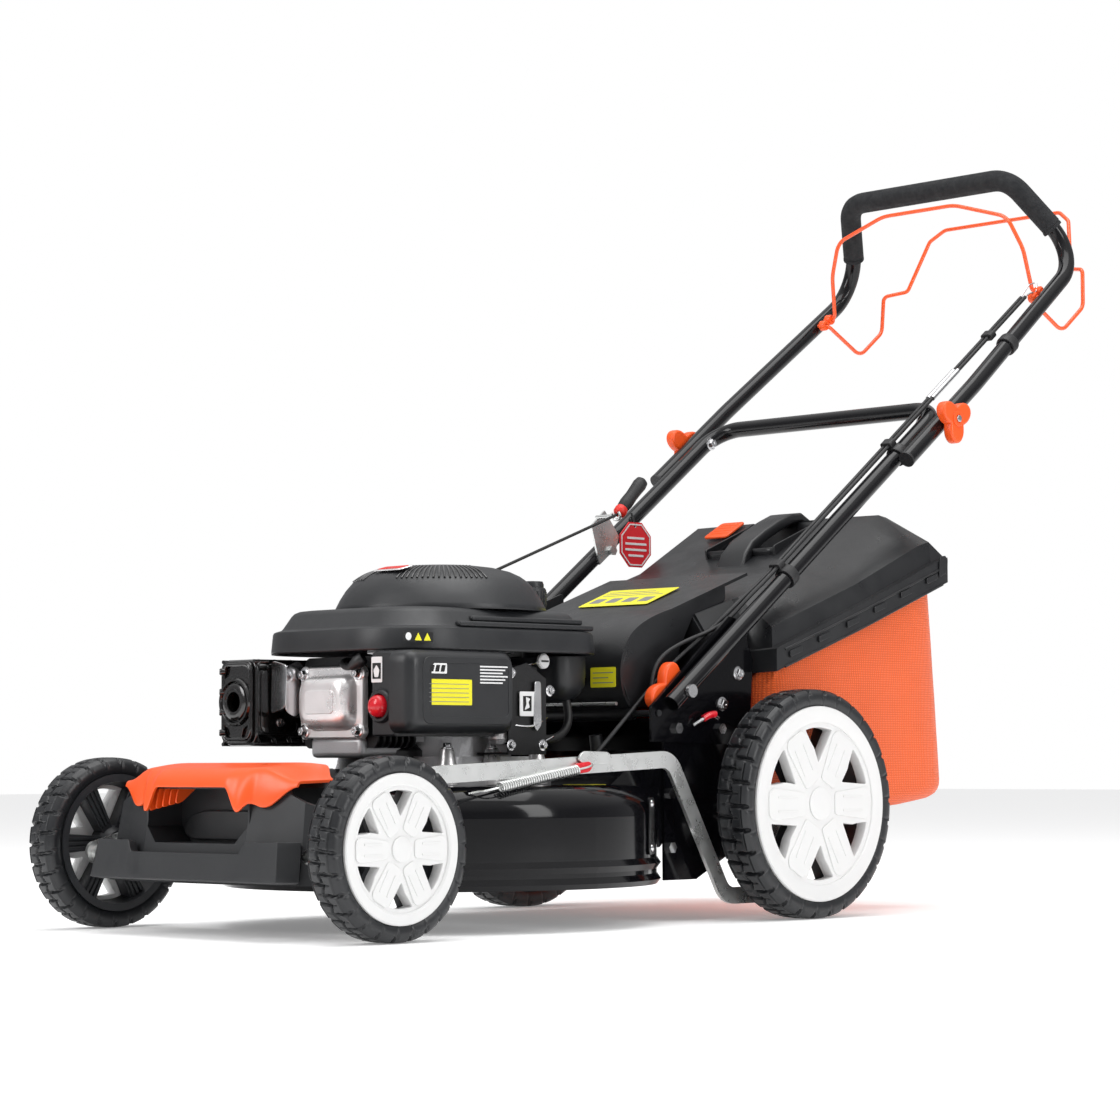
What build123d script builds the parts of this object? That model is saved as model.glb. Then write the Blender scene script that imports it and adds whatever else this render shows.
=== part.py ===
"""Self-propelled walk-behind lawn mower with a rear grass catcher.

Millimetres.  +Z is up, the mower's nose points along -Y and +X is the operator's left.
The origin is on the ground at the middle of the whole object's length and width.
"""
import math
import os

from build123d import *

os.makedirs("parts", exist_ok=True)

# ---- driving dimensions --------------------------------------------------------------------
front_axle_y = -671.0          # front axle, from the middle of the whole length
wheelbase = 684.0
crank_y = 308.0                # engine and deck centre, behind the front axle
running_gap = 0.05             # radial clearance of every pin in its bore

front_tyre_radius = 100.0
front_rim_radius = 81.3
front_rim_x = 271.7            # outer face of the front wheels
rear_tyre_radius = 140.0
rear_rim_radius = 119.1
rear_rim_x = 277.4             # outer face of the rear wheels
wheel_inner_x = 224.5          # inner edge of all four tyres
tyre_setback = 6.0             # the rim stands this far outside the tyre

spindle_radius = 6.0
pivot_back = 40.0              # each axle's pivot is ahead of its spindle by this much
pivot_down = 10.0              # and below it by this much
pivot_radius = 8.0
crank_arm_x = 214.0            # inner face of the crank arms
crank_arm_thickness = 5.0
link_bar_x = 208.0             # inner face of the link bar
link_bar_thickness = 5.0
link_bar_width = 20.0

deck_radius = 258.0
deck_bead_radius = 262.5
deck_bottom = 48.0
deck_top = 165.0
deck_wall = 3.0

tunnel_half_width = 178.0
belt_low = 97.0
belt_width = 8.0
side_plate_x = 178.4           # inner face of the rear side plates
bracket_x = 182.8              # inner face of the handle brackets
plate_thickness = 3.8

shroud_bottom = 320.0
shroud_side_top = 350.0
shroud_top = 372.0
dome_radius = 126.0
dome_top = 428.0

tube_radius = 11.0
tube_wall = 1.6
lower_tube_x = 198.0
upper_tube_x = 221.0
handle_pivot = (521.0, 276.5)  # lower handle bolt, behind the front axle and above ground
handle_slope = 0.75            # rise over run of both handles
fold_bolt_y = 1004.0           # upper handle bolt
stud_radius = 4.0

bail_wire_radius = 2.8
cable_radius = 2.6
rope_radius = 2.0


def at(x, y, z):
    """A point given by its distance behind the front axle."""
    return (x, front_axle_y + y, z)


def side(x):
    """A sketch plane across the mower at x: local X runs rearwards and local Y up."""
    return Plane(origin=at(x, 0, 0), x_dir=(0, 1, 0), z_dir=(1, 0, 0))


def level(z):
    """A sketch plane at height z: local X is the mower's X, local Y runs rearwards."""
    return Plane(origin=at(0, 0, z), x_dir=(1, 0, 0), z_dir=(0, 0, 1))


def facing(y):
    """A sketch plane that faces forwards: local X is the mower's X and local Y is up."""
    return Plane(origin=at(0, y, 0), x_dir=(1, 0, 0), z_dir=(0, -1, 0))


def save(part, name):
    """Label a finished piece and write its STEP file."""
    part.label = name
    export_step(part, f"parts/{name}.step")


def handle_z(y):
    """Height of both handles' centreline at a distance behind the front axle."""
    return handle_pivot[1] + (y - handle_pivot[0]) * handle_slope


def sweep_round(points, radii, outer, inner=0.0, mode=Mode.ADD):
    """Sweep a rod, or a tube if inner is given, along straight runs joined by arcs."""
    with BuildLine(mode=Mode.PRIVATE) as route:
        if len(points) == 2:
            Line(*points)
        else:
            FilletPolyline(*points, radius=radii)
    path = route.wire()
    with BuildSketch(Plane(origin=path @ 0, z_dir=path % 0), mode=Mode.PRIVATE) as ring:
        Circle(outer)
        if inner:
            Circle(inner, mode=Mode.SUBTRACT)
    sweep(sections=ring.sketch, path=path, mode=mode)


# ---- wheels --------------------------------------------------------------------------------
wheels = [
    ("front_left", 1, 0.0, front_tyre_radius, front_rim_radius, front_rim_x),
    ("front_right", -1, 0.0, front_tyre_radius, front_rim_radius, front_rim_x),
    ("rear_left", 1, wheelbase, rear_tyre_radius, rear_rim_radius, rear_rim_x),
    ("rear_right", -1, wheelbase, rear_tyre_radius, rear_rim_radius, rear_rim_x),
]
rim_thickness = 9.0
hub_radius = 24.0
spoke_width = 26.0
spoke_depth = 15.0

for corner, hand, axle_y, tyre_radius, rim_radius, rim_x in wheels:
    inner_face = Plane(
        origin=at(hand * wheel_inner_x, axle_y, tyre_radius), x_dir=(0, hand, 0), z_dir=(hand, 0, 0)
    )
    width = rim_x - wheel_inner_x

    with BuildPart() as tyre:
        with BuildSketch(inner_face):
            Circle(tyre_radius)
            Circle(rim_radius, mode=Mode.SUBTRACT)
        extrude(amount=width - tyre_setback)
        fillet(tyre.edges().filter_by(GeomType.CIRCLE).group_by(SortBy.RADIUS)[-1], radius=8)
    save(tyre.part, f"tyre_{corner}")

    with BuildPart() as wheel:
        with BuildSketch(inner_face):
            Circle(rim_radius)
            Circle(rim_radius - rim_thickness, mode=Mode.SUBTRACT)
        extrude(amount=width)
        with BuildSketch(inner_face.offset(width - spoke_depth - 2)):
            with PolarLocations((rim_radius + hub_radius) / 2 - 4, 6):
                Rectangle(rim_radius - hub_radius, spoke_width)
            Circle(hub_radius + 4)
        extrude(amount=spoke_depth)
        with BuildSketch(inner_face):
            Circle(hub_radius)
        extrude(amount=width - 3)
        with BuildSketch(inner_face):
            Circle(spindle_radius + running_gap)
        extrude(amount=width - spoke_depth, mode=Mode.SUBTRACT)
    save(wheel.part, f"wheel_{corner}")

# ---- axle cranks and the link bar ----------------------------------------------------------
spindle_length = rim_thickness + 22.0

for name, axle_y, spindle_z in (
    ("front_axle", 0.0, front_tyre_radius),
    ("rear_axle", wheelbase, rear_tyre_radius),
):
    pivot_y = axle_y - pivot_back
    pivot_z = spindle_z - pivot_down
    arm_length = math.hypot(pivot_back, pivot_down)
    arm_angle = math.degrees(math.atan2(pivot_down, pivot_back))
    with BuildPart() as axle:
        with BuildSketch(side(-crank_arm_x)):
            with Locations((pivot_y, pivot_z)):
                Circle(pivot_radius)
        extrude(amount=2 * crank_arm_x)
        with BuildSketch(side(crank_arm_x)):
            with Locations(((pivot_y + axle_y) / 2, (pivot_z + spindle_z) / 2)):
                SlotCenterToCenter(arm_length, 26, rotation=arm_angle)
        extrude(amount=crank_arm_thickness)
        with BuildSketch(side(link_bar_x - 2)):
            with Locations((axle_y, spindle_z)):
                Circle(spindle_radius)
        extrude(amount=wheel_inner_x + spindle_length - link_bar_x + 2)
        with BuildSketch(side(crank_arm_x + crank_arm_thickness)):
            with Locations((axle_y, spindle_z)):
                Circle(spindle_radius + 5)
        extrude(amount=wheel_inner_x - crank_arm_x - crank_arm_thickness - 0.5)
        mirror(about=Plane.YZ)
    save(axle.part, name)

link_bend = 26.0
with BuildPart() as link_bar:
    with BuildLine(side(link_bar_x + link_bar_thickness / 2)) as bar_line:
        FilletPolyline(
            (0, front_tyre_radius), (96, 178), (484, 195), (580, 30), (652, 30),
            (wheelbase, rear_tyre_radius), radius=link_bend,
        )
    bar_start = bar_line.line @ 0
    bar_aim = bar_line.line % 0
    with BuildSketch(Plane(origin=bar_start, x_dir=(1, 0, 0), z_dir=bar_aim)):
        Rectangle(link_bar_thickness, link_bar_width)
    sweep()
    with BuildSketch(side(link_bar_x)):
        with Locations((0, front_tyre_radius), (wheelbase, rear_tyre_radius)):
            Circle(link_bar_width / 2 + 2)
    extrude(amount=link_bar_thickness)
    with BuildSketch(side(link_bar_x)):
        with Locations((0, front_tyre_radius), (wheelbase, rear_tyre_radius)):
            Circle(spindle_radius + running_gap)
        with Locations((344, 189)):
            SlotOverall(14, 5)
    extrude(amount=link_bar_thickness, mode=Mode.SUBTRACT)
save(link_bar.part, "link_bar")

spring_front = (186, 163)
spring_rear = (322, 184)
spring_x = 221.0
with BuildPart() as lift_spring:
    sweep_round(
        [at(204.5, 168, 157.2), at(spring_x, *spring_front), at(spring_x, *spring_rear),
         at(spring_x, 343, 188), at(link_bar_x + 6, 344, 189)],
        1.0, 1.3,
    )
    sweep_round([at(spring_x, 192, 164), at(spring_x, 316, 183)], None, 6.5)
save(lift_spring.part, "lift_spring")

# ---- deck ----------------------------------------------------------------------------------
deck_axis = Axis(at(0, crank_y, 0), (0, 0, 1))
deck_side = Plane(origin=at(0, crank_y, 0), x_dir=(1, 0, 0), z_dir=(0, -1, 0))
shoulder = 36.0
crank_hole = 34.0
tunnel_outline = [
    (330, 70), (330, 160), (416, 165), (462, 196), (525, 206), (604, 246), (604, 182), (500, 90),
]
tunnel_inside = [
    (330, 74), (330, 150), (417, 162), (463, 193), (526, 203), (600, 239), (600, 186), (498, 94),
]

with BuildPart() as deck:
    with BuildSketch(deck_side):
        with BuildLine():
            Polyline(
                (0, deck_bottom), (deck_radius, deck_bottom), (deck_bead_radius, 54), (deck_radius, 61),
                (deck_radius, 66), (deck_bead_radius, 73), (deck_radius, 80),
                (deck_radius, deck_top - shoulder),
            )
            RadiusArc(
                (deck_radius, deck_top - shoulder), (deck_radius - shoulder, deck_top), -shoulder
            )
            Polyline((deck_radius - shoulder, deck_top), (0, deck_top), (0, deck_bottom))
        make_face()
    revolve(axis=deck_axis)
    with BuildSketch(side(-tunnel_half_width)):
        Polygon(*tunnel_outline, align=None)
    extrude(amount=2 * tunnel_half_width)
    with BuildSketch(deck_side):
        with BuildLine():
            Polyline(
                (0, deck_bottom - 1), (deck_radius - deck_wall, deck_bottom - 1),
                (deck_radius - deck_wall, deck_top - shoulder),
            )
            RadiusArc(
                (deck_radius - deck_wall, deck_top - shoulder),
                (deck_radius - shoulder, deck_top - deck_wall), -(shoulder - deck_wall),
            )
            Polyline(
                (deck_radius - shoulder, deck_top - deck_wall), (0, deck_top - deck_wall),
                (0, deck_bottom - 1),
            )
        make_face()
    revolve(axis=deck_axis, mode=Mode.SUBTRACT)
    with BuildSketch(side(-tunnel_half_width + deck_wall)):
        Polygon(*tunnel_inside, align=None)
    extrude(amount=2 * (tunnel_half_width - deck_wall), mode=Mode.SUBTRACT)
    with BuildSketch(facing(590)):
        with Locations((0, 213)):
            Rectangle(300, 48)
    extrude(amount=-20, mode=Mode.SUBTRACT)
    with BuildSketch(level(deck_top - 10)):
        with Locations((0, crank_y)):
            Circle(crank_hole)
    extrude(amount=30, mode=Mode.SUBTRACT)
    # slot in the rear wall for the drive belt
    with BuildSketch(level(belt_low - 5)):
        with Locations((20, 530)):
            Rectangle(130, 90)
    extrude(amount=belt_width + 10, mode=Mode.SUBTRACT)
    # lugs that carry the front axle's pivot, ahead of the skirt
    for lug_x in (-156.0, 150.0):
        with BuildSketch(side(lug_x)):
            with BuildLine():
                Polyline((-66, 74), (-66, 102), (120, 128), (120, 74), (-66, 74))
            make_face()
            with Locations((-pivot_back, front_tyre_radius - pivot_down)):
                Circle(pivot_radius + running_gap, mode=Mode.SUBTRACT)
        extrude(amount=6)
    # the post that the lift spring hooks on to
    with BuildSketch(side(196)):
        with Locations((168, 157)):
            Circle(4)
    extrude(amount=6)
    with BuildSketch(level(140)):
        with Locations((196, 168)):
            Rectangle(8, 12)
    extrude(amount=19)
save(deck.part, "deck")

with BuildPart() as wash_port:
    port_seat = Plane(origin=at(100, 475, 198.1), z_dir=(0, -0.159, 1))
    with BuildSketch(port_seat):
        RegularPolygon(14, 6)
    extrude(amount=8)
    with BuildSketch(port_seat):
        Circle(8)
    extrude(amount=27)
    with BuildSketch(port_seat):
        Circle(5)
    extrude(amount=30, mode=Mode.SUBTRACT)
save(wash_port.part, "wash_port")

# ---- front trim and grip -------------------------------------------------------------------
trim_half = 203.0
trim_bottom = 60.0
trim_wall = 4.0
trim_outline = [
    (-trim_half, 62), (-trim_half, -24), (-168, -56), (-90, -74), (90, -74), (168, -56),
    (trim_half, -24), (trim_half, 62),
]
pocket_outline = [(-70, 104), (70, 104), (88, 122), (88, 164), (-88, 164), (-88, 122)]
pocket_back = -14.0

with BuildPart() as front_trim:
    with BuildSketch(level(trim_bottom)):
        Polygon(*trim_outline, align=None)
    extrude(amount=112, taper=10)
    with BuildSketch(level(trim_bottom - 1)):
        Polygon(*trim_outline, align=None)
        offset(amount=-trim_wall)
    extrude(amount=106, taper=10, mode=Mode.SUBTRACT)
    # the tray of the hand-hold pocket
    with BuildSketch(facing(pocket_back + 4)):
        Polygon(*pocket_outline, align=None)
        offset(amount=3)
    extrude(amount=52)
    with BuildSketch(facing(pocket_back)):
        Polygon(*pocket_outline, align=None)
    extrude(amount=80, mode=Mode.SUBTRACT)
    # the shoulders fall away towards both wheels
    for hand in (-1, 1):
        with BuildSketch(facing(90)):
            Polygon((hand * 108, 200), (hand * 230, 200), (hand * 230, 118), (hand * 196, 134),
                    (hand * 140, 158), align=None)
        extrude(amount=200, mode=Mode.SUBTRACT)
    with BuildSketch(level(deck_bottom - 2)):
        with Locations((0, crank_y)):
            Circle(deck_bead_radius + 1.5)
    extrude(amount=160, mode=Mode.SUBTRACT)
    # room for the front axle and its lugs
    with BuildSketch(side(-trim_half - 2)):
        with Locations((-pivot_back, front_tyre_radius - pivot_down)):
            Circle(pivot_radius + 3)
    extrude(amount=2 * trim_half + 4, mode=Mode.SUBTRACT)
    for lug_x in (-157.0, 149.0):
        with BuildSketch(side(lug_x)):
            Polygon((-68, 72), (-68, 104), (122, 130), (122, 72), align=None)
        extrude(amount=8, mode=Mode.SUBTRACT)
save(front_trim.part, "front_trim")

with BuildPart() as front_grip:
    with BuildSketch(facing(-90)):
        with BuildLine():
            Polyline((-88, 138), (-118, 143), (-148, 150), (-104, 187))
            ThreePointArc((-104, 187), (0, 195), (104, 187))
            Polyline((104, 187), (148, 150), (118, 143), (88, 138), (76, 162))
            ThreePointArc((76, 162), (0, 167), (-76, 162))
            Polyline((-76, 162), (-88, 138))
        make_face()
    extrude(amount=-140)
    with BuildSketch(side(-160)):
        with BuildLine():
            Spline((-76, 136), (-73, 168), (-40, 187), (38, 195))
            Polyline((38, 195), (38, 190))
            Spline((38, 190), (-37, 182), (-68, 166), (-71, 136))
            Polyline((-71, 136), (-76, 136))
        make_face()
    extrude(amount=320, mode=Mode.INTERSECT)
save(front_grip.part, "front_grip")

# ---- rear side plates, handle brackets and bolts -------------------------------------------
rear_pivot = (wheelbase - pivot_back, rear_tyre_radius - pivot_down)
flap_hinge = (490.0, 250.0)
bracket_bolts = [(522, 232), (600, 232), (640, 226)]
deck_bolts = [(514, 154), (514, 89)]

with BuildPart() as side_plates:
    with BuildSketch(side(side_plate_x)):
        Polygon((504, 50), (504, 242), (656, 242), (668, 150), (656, 96), (560, 50), align=None)
        with Locations(rear_pivot):
            Circle(pivot_radius + running_gap, mode=Mode.SUBTRACT)
        with Locations(*bracket_bolts, *deck_bolts):
            Circle(4, mode=Mode.SUBTRACT)
    extrude(amount=plate_thickness)
    mirror(about=Plane.YZ)
save(side_plates.part, "side_plates")

with BuildPart() as handle_brackets:
    with BuildSketch(side(bracket_x)):
        Polygon((478, 216), (478, 258), (618, 370), (640, 366), (662, 318), (654, 212), align=None)
        with Locations(flap_hinge, handle_pivot):
            Circle(stud_radius + running_gap, mode=Mode.SUBTRACT)
        with Locations(*bracket_bolts):
            Circle(4, mode=Mode.SUBTRACT)
    extrude(amount=plate_thickness)
    mirror(about=Plane.YZ)
save(handle_brackets.part, "handle_brackets")

# ---- engine: rotating group ----------------------------------------------------------------
crank_spot = (0, crank_y)
crank_radius = 12.5
blade_z = 62.0

with BuildPart() as crankshaft:
    with BuildSketch(level(blade_z + 10)):
        with Locations(crank_spot):
            Circle(crank_radius)
    extrude(amount=352 - blade_z - 10)
    with BuildSketch(level(blade_z - 16)):
        with Locations(crank_spot):
            RegularPolygon(13, 6)
    extrude(amount=12)
    with BuildSketch(level(blade_z - 4)):
        with Locations(crank_spot):
            Circle(5)
    extrude(amount=14)
save(crankshaft.part, "crankshaft")

with BuildPart() as flywheel:
    with BuildSketch(level(323)):
        with Locations(crank_spot):
            Circle(88)
            Circle(crank_radius, mode=Mode.SUBTRACT)
    extrude(amount=12)
    with BuildSketch(level(335)):
        with Locations(crank_spot):
            with PolarLocations(66, 16):
                Rectangle(34, 3, rotation=24)
    extrude(amount=14)
save(flywheel.part, "flywheel")

with BuildPart() as drive_pulley:
    with BuildSketch(deck_side):
        with BuildLine():
            Polyline(
                (crank_radius, blade_z + 10), (22, blade_z + 10), (22, belt_low - 3),
                (31, belt_low - 3), (31, belt_low - 1), (26, belt_low + 4), (31, belt_low + 9),
                (31, belt_low + 11), (20, belt_low + 11), (20, belt_low + 33),
                (crank_radius, belt_low + 33), (crank_radius, blade_z + 10),
            )
        make_face()
    revolve(axis=deck_axis)
    with BuildSketch(level(blade_z + 4)):
        with Locations(crank_spot):
            Rectangle(96, 44)
            Circle(6, mode=Mode.SUBTRACT)
    extrude(amount=6)
save(drive_pulley.part, "drive_pulley")

blade_length = 490.0
blade_width = 54.0
with BuildPart() as blade:
    with BuildSketch(level(blade_z)):
        with Locations(crank_spot):
            Rectangle(blade_length - 60, blade_width)
            Circle(6, mode=Mode.SUBTRACT)
    extrude(amount=4)
    # both tips widen, and each carries a lifted wing on its trailing side
    for hand in (-1, 1):
        with BuildSketch(level(blade_z)):
            with Locations((hand * (blade_length / 2 - 22), crank_y - hand * 3)):
                Rectangle(44, blade_width - 6)
        extrude(amount=4)
        with BuildSketch(level(blade_z + 2)):
            with Locations((hand * (blade_length / 2 - 64), crank_y + hand * (blade_width / 2 - 3))):
                Rectangle(86, 6)
        extrude(amount=14)
save(blade.part, "blade")

# ---- engine: block -------------------------------------------------------------------------
case_radius = 84.0
pad_front = 214.0
cylinder_z = 262.0
fin_count = 7
head_front = 142.0

case_wall = 9.0
with BuildPart() as crankcase:
    with BuildSketch(level(deck_top)):
        with Locations((0, crank_y + 2)):
            RectangleRounded(200, 204, 30)
    extrude(amount=12)
    with BuildSketch(level(deck_top + 12)):
        with Locations((0, crank_y + 2)):
            RectangleRounded(180, 184, 40)
    extrude(amount=22)
    with BuildSketch(level(deck_top + 34)):
        with Locations(crank_spot):
            Circle(case_radius)
    extrude(amount=117)
    with BuildSketch(facing(pad_front)):
        with Locations((0, cylinder_z)):
            Rectangle(92, 92)
    extrude(amount=-60)
    sweep_round(
        [at(-60, 372, 214), at(-176, 390, 232), at(-176, 390, 300)], 24, 12,
    )
    with BuildSketch(level(240)):
        with Locations((-176, 390)):
            Circle(8)
    extrude(amount=70, mode=Mode.SUBTRACT)
    with BuildSketch(level(deck_top)):
        with Locations(crank_spot):
            Circle(crank_radius + running_gap)
    extrude(amount=160, mode=Mode.SUBTRACT)
    # the hollow crank chamber, and the cylinder bore opening into it
    with BuildSketch(level(deck_top + case_wall)):
        with Locations(crank_spot):
            Circle(case_radius - case_wall)
    extrude(amount=34 + 117 - 2 * case_wall, mode=Mode.SUBTRACT)
    with BuildSketch(facing(pad_front - 1)):
        with Locations((0, cylinder_z)):
            Circle(33)
    extrude(amount=-80, mode=Mode.SUBTRACT)
save(crankcase.part, "crankcase")

with BuildPart() as cylinder_block:
    with BuildSketch(facing(pad_front)):
        with Locations((0, cylinder_z)):
            Rectangle(86, 84)
    extrude(amount=pad_front - head_front)
    for fin in range(fin_count):
        with BuildSketch(facing(pad_front - 5 - 9.5 * fin)):
            with Locations((0, cylinder_z)):
                RectangleRounded(128, 106, 10)
        extrude(amount=3)
    with BuildSketch(facing(pad_front + 1)):
        with Locations((0, cylinder_z)):
            Circle(33)
    extrude(amount=pad_front - head_front - 20, mode=Mode.SUBTRACT)
save(cylinder_block.part, "cylinder_block")

cover_flange = 7.0
with BuildPart() as valve_cover:
    with BuildSketch(facing(head_front)):
        with Locations((0, cylinder_z)):
            RectangleRounded(112, 84, 15)
    extrude(amount=cover_flange)
    with BuildSketch(facing(head_front - cover_flange)):
        with Locations((0, cylinder_z)):
            RectangleRounded(86, 62, 14)
    extrude(amount=20, taper=14)
    fillet(valve_cover.faces().sort_by(Axis.Y)[0].edges(), radius=6)
save(valve_cover.part, "valve_cover")

with BuildPart() as bolts:
    with BuildSketch(facing(head_front - cover_flange)):
        with Locations((0, cylinder_z)):
            with GridLocations(94, 66, 2, 2):
                RegularPolygon(5.5, 6)
    extrude(amount=6)
    for spot in bracket_bolts:
        with BuildSketch(side(side_plate_x)):
            with Locations(spot):
                Circle(3.9)
        extrude(amount=bracket_x + plate_thickness - side_plate_x)
        with BuildSketch(side(bracket_x + plate_thickness)):
            with Locations(spot):
                RegularPolygon(7, 6)
        extrude(amount=5)
    for spot in deck_bolts:
        with BuildSketch(side(side_plate_x)):
            with Locations(spot):
                Circle(3.9)
        extrude(amount=plate_thickness)
        with BuildSketch(side(side_plate_x + plate_thickness)):
            with Locations(spot):
                RegularPolygon(7, 6)
        extrude(amount=5)
    # the lower handle's bolts: shank through bracket and tube, head outside
    with BuildSketch(side(bracket_x - 20)):
        with Locations(handle_pivot):
            Circle(stud_radius)
    extrude(amount=lower_tube_x + tube_radius + 1 - bracket_x + 20)
    with BuildSketch(side(lower_tube_x + tube_radius + 1)):
        with Locations(handle_pivot):
            Circle(8)
    extrude(amount=5)
    mirror(about=Plane.YZ)
    for bolt_x, bolt_y in ((-90, 222), (90, 222), (-90, 398), (90, 398)):
        with BuildSketch(level(deck_top + 12)):
            with Locations((bolt_x, bolt_y)):
                RegularPolygon(8, 6)
        extrude(amount=8)
save(bolts.part, "bolts")

# ---- engine: muffler -----------------------------------------------------------------------
muffler_low = (-146.0, 93.0, 216.0)
muffler_high = (-90.0, 207.0, 310.0)
guard_gap = 3.5
guard_wall = 2.5

muffler_wall = 2.0
with BuildPart() as muffler:
    with BuildSketch(facing(muffler_high[1])):
        with Locations(((muffler_low[0] + muffler_high[0]) / 2, cylinder_z)):
            RectangleRounded(muffler_high[0] - muffler_low[0], muffler_high[2] - muffler_low[2], 14)
    extrude(amount=muffler_high[1] - muffler_low[1])
    with BuildSketch(side(muffler_high[0] - 4)):
        with Locations((178, cylinder_z)):
            RectangleRounded(40, 44, 8)
    extrude(amount=-muffler_high[0] - 60.4)
    with BuildSketch(facing(muffler_low[1])):
        with Locations((-119, cylinder_z + 2)):
            Circle(15)
    extrude(amount=7)
    with BuildSketch(facing(muffler_low[1] - 7)):
        with Locations((-119, cylinder_z + 2)):
            Circle(12)
    extrude(amount=-30, mode=Mode.SUBTRACT)
    # the hollow chamber inside the silencer box
    with BuildSketch(facing(muffler_high[1] - muffler_wall)):
        with Locations(((muffler_low[0] + muffler_high[0]) / 2, cylinder_z)):
            Rectangle(
                muffler_high[0] - muffler_low[0] - 8 * muffler_wall,
                muffler_high[2] - muffler_low[2] - 8 * muffler_wall,
            )
    extrude(amount=muffler_high[1] - muffler_low[1] - 2 * muffler_wall, mode=Mode.SUBTRACT)
save(muffler.part, "muffler")

with BuildPart() as muffler_guard:
    guard_low = [value - guard_gap - guard_wall for value in muffler_low]
    guard_high = [value + guard_gap + guard_wall for value in muffler_high]
    guard_middle = ((guard_low[0] + guard_high[0]) / 2, cylinder_z + 1)
    with BuildSketch(facing(guard_high[1])):
        with Locations(guard_middle):
            RectangleRounded(guard_high[0] - guard_low[0], guard_high[2] - guard_low[2] - 2, 14)
    extrude(amount=guard_high[1] - guard_low[1])
    with BuildSketch(facing(guard_high[1] + 1)):
        with Locations(guard_middle):
            RectangleRounded(
                guard_high[0] - guard_low[0] - 2 * guard_wall,
                guard_high[2] - guard_low[2] - 2 - 2 * guard_wall, 12,
            )
    extrude(amount=guard_high[1] - guard_low[1] - guard_wall + 1, mode=Mode.SUBTRACT)
    # open towards the cylinder, where the flange comes through
    with BuildSketch(side(-90)):
        with Locations((165, cylinder_z)):
            Rectangle(80, 74)
    extrude(amount=12, mode=Mode.SUBTRACT)
    with BuildSketch(facing(guard_low[1] - 1)):
        with Locations((-119, cylinder_z + 2)):
            Circle(22)
    extrude(amount=-6, mode=Mode.SUBTRACT)
    with BuildSketch(level(guard_low[2] - 2)):
        for slot_y in (108, 130, 152, 174, 196):
            with Locations((guard_middle[0], slot_y)):
                SlotOverall(44, 12)
    extrude(amount=120, mode=Mode.SUBTRACT)
    with BuildSketch(side(guard_low[0] - 1)):
        for slot_y in (108, 130, 152, 174, 196):
            with Locations((slot_y, cylinder_z)):
                SlotOverall(60, 11, rotation=90)
    extrude(amount=6, mode=Mode.SUBTRACT)
save(muffler_guard.part, "muffler_guard")

# ---- engine: covers, starter and fuel ------------------------------------------------------
shroud_front = 118.0
shroud_rear = 448.0
shroud_half = 145.0
filler_spot = (28.0, 434.0)
rope_exit = Vector(*at(-100, 392, 396))
rope_end = Vector(*at(-150, 770, 523))
rope_aim = (rope_end - rope_exit).normalized()
rope_core_radius = 1.2


def add_shroud_layer(start, inset, rise, taper, mode=Mode.ADD):
    """One tapering layer of the blower shroud: wide round corners in front, small ones behind."""
    with BuildSketch(level(start), mode=Mode.PRIVATE) as outline:
        with Locations((0, (shroud_front + shroud_rear) / 2)):
            Rectangle(2 * (shroud_half - inset), shroud_rear - shroud_front - 2 * inset)
        fillet(outline.vertices().group_by(Axis.Y)[0], radius=88 - inset)
        fillet(outline.vertices().group_by(Axis.Y)[-1], radius=40 - inset)
    extrude(outline.sketch, amount=rise, taper=taper, mode=mode)


with BuildPart() as blower_shroud:
    add_shroud_layer(shroud_bottom, 0, shroud_side_top - shroud_bottom, 3)
    add_shroud_layer(shroud_side_top, 1.6, shroud_top - shroud_side_top, 32)
    add_shroud_layer(shroud_bottom - 1, 4, shroud_side_top - shroud_bottom - 1, 3, Mode.SUBTRACT)
    add_shroud_layer(shroud_side_top - 2, 5.6, shroud_top - shroud_side_top - 2, 32, Mode.SUBTRACT)
    with BuildSketch(level(shroud_top - 10)):
        with Locations(crank_spot):
            Circle(108)
    extrude(amount=20, mode=Mode.SUBTRACT)
    with BuildSketch(level(shroud_bottom - 1)):
        with Locations(filler_spot):
            Circle(15)
    extrude(amount=80, mode=Mode.SUBTRACT)
save(blower_shroud.part, "blower_shroud")

with BuildPart() as recoil_cover:
    with BuildSketch(deck_side):
        with BuildLine():
            Polyline((0, shroud_top), (dome_radius, shroud_top), (dome_radius - 2, shroud_top + 8))
            Spline(
                (dome_radius - 2, shroud_top + 8), (98, 412), (60, 424), (0, dome_top),
                tangents=[(-0.4, 1), (-1, 0)],
            )
            Line((0, dome_top), (0, shroud_top))
        make_face()
    revolve(axis=deck_axis)
    dome_base = recoil_cover.faces().sort_by(Axis.Z)[0]
    offset(amount=-3, openings=dome_base)
    with BuildSketch(level(dome_top - 30)):
        with Locations(crank_spot):
            with PolarLocations(76, 30):
                SlotOverall(40, 5)
    extrude(amount=40, mode=Mode.SUBTRACT)
    # boss and eye for the starter rope
    rope_inside = rope_exit - rope_aim * 30
    with BuildSketch(Plane(origin=rope_inside, z_dir=rope_aim)):
        Circle(7)
    extrude(amount=30)
    with BuildSketch(Plane(origin=rope_inside, z_dir=rope_aim)):
        Circle(3)
    extrude(amount=31, mode=Mode.SUBTRACT)
    with BuildSketch(level(shroud_top - 1)):
        with Locations(filler_spot):
            Circle(20)
    extrude(amount=80, mode=Mode.SUBTRACT)
save(recoil_cover.part, "recoil_cover")

rope_plane = Plane(origin=rope_exit, z_dir=rope_aim)
rope_length = (rope_end - rope_exit).length
with BuildPart() as starter_rope:
    with BuildSketch(rope_plane):
        Circle(rope_radius)
        Circle(rope_core_radius + running_gap, mode=Mode.SUBTRACT)
    extrude(amount=rope_length)
save(starter_rope.part, "starter_rope")

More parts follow.
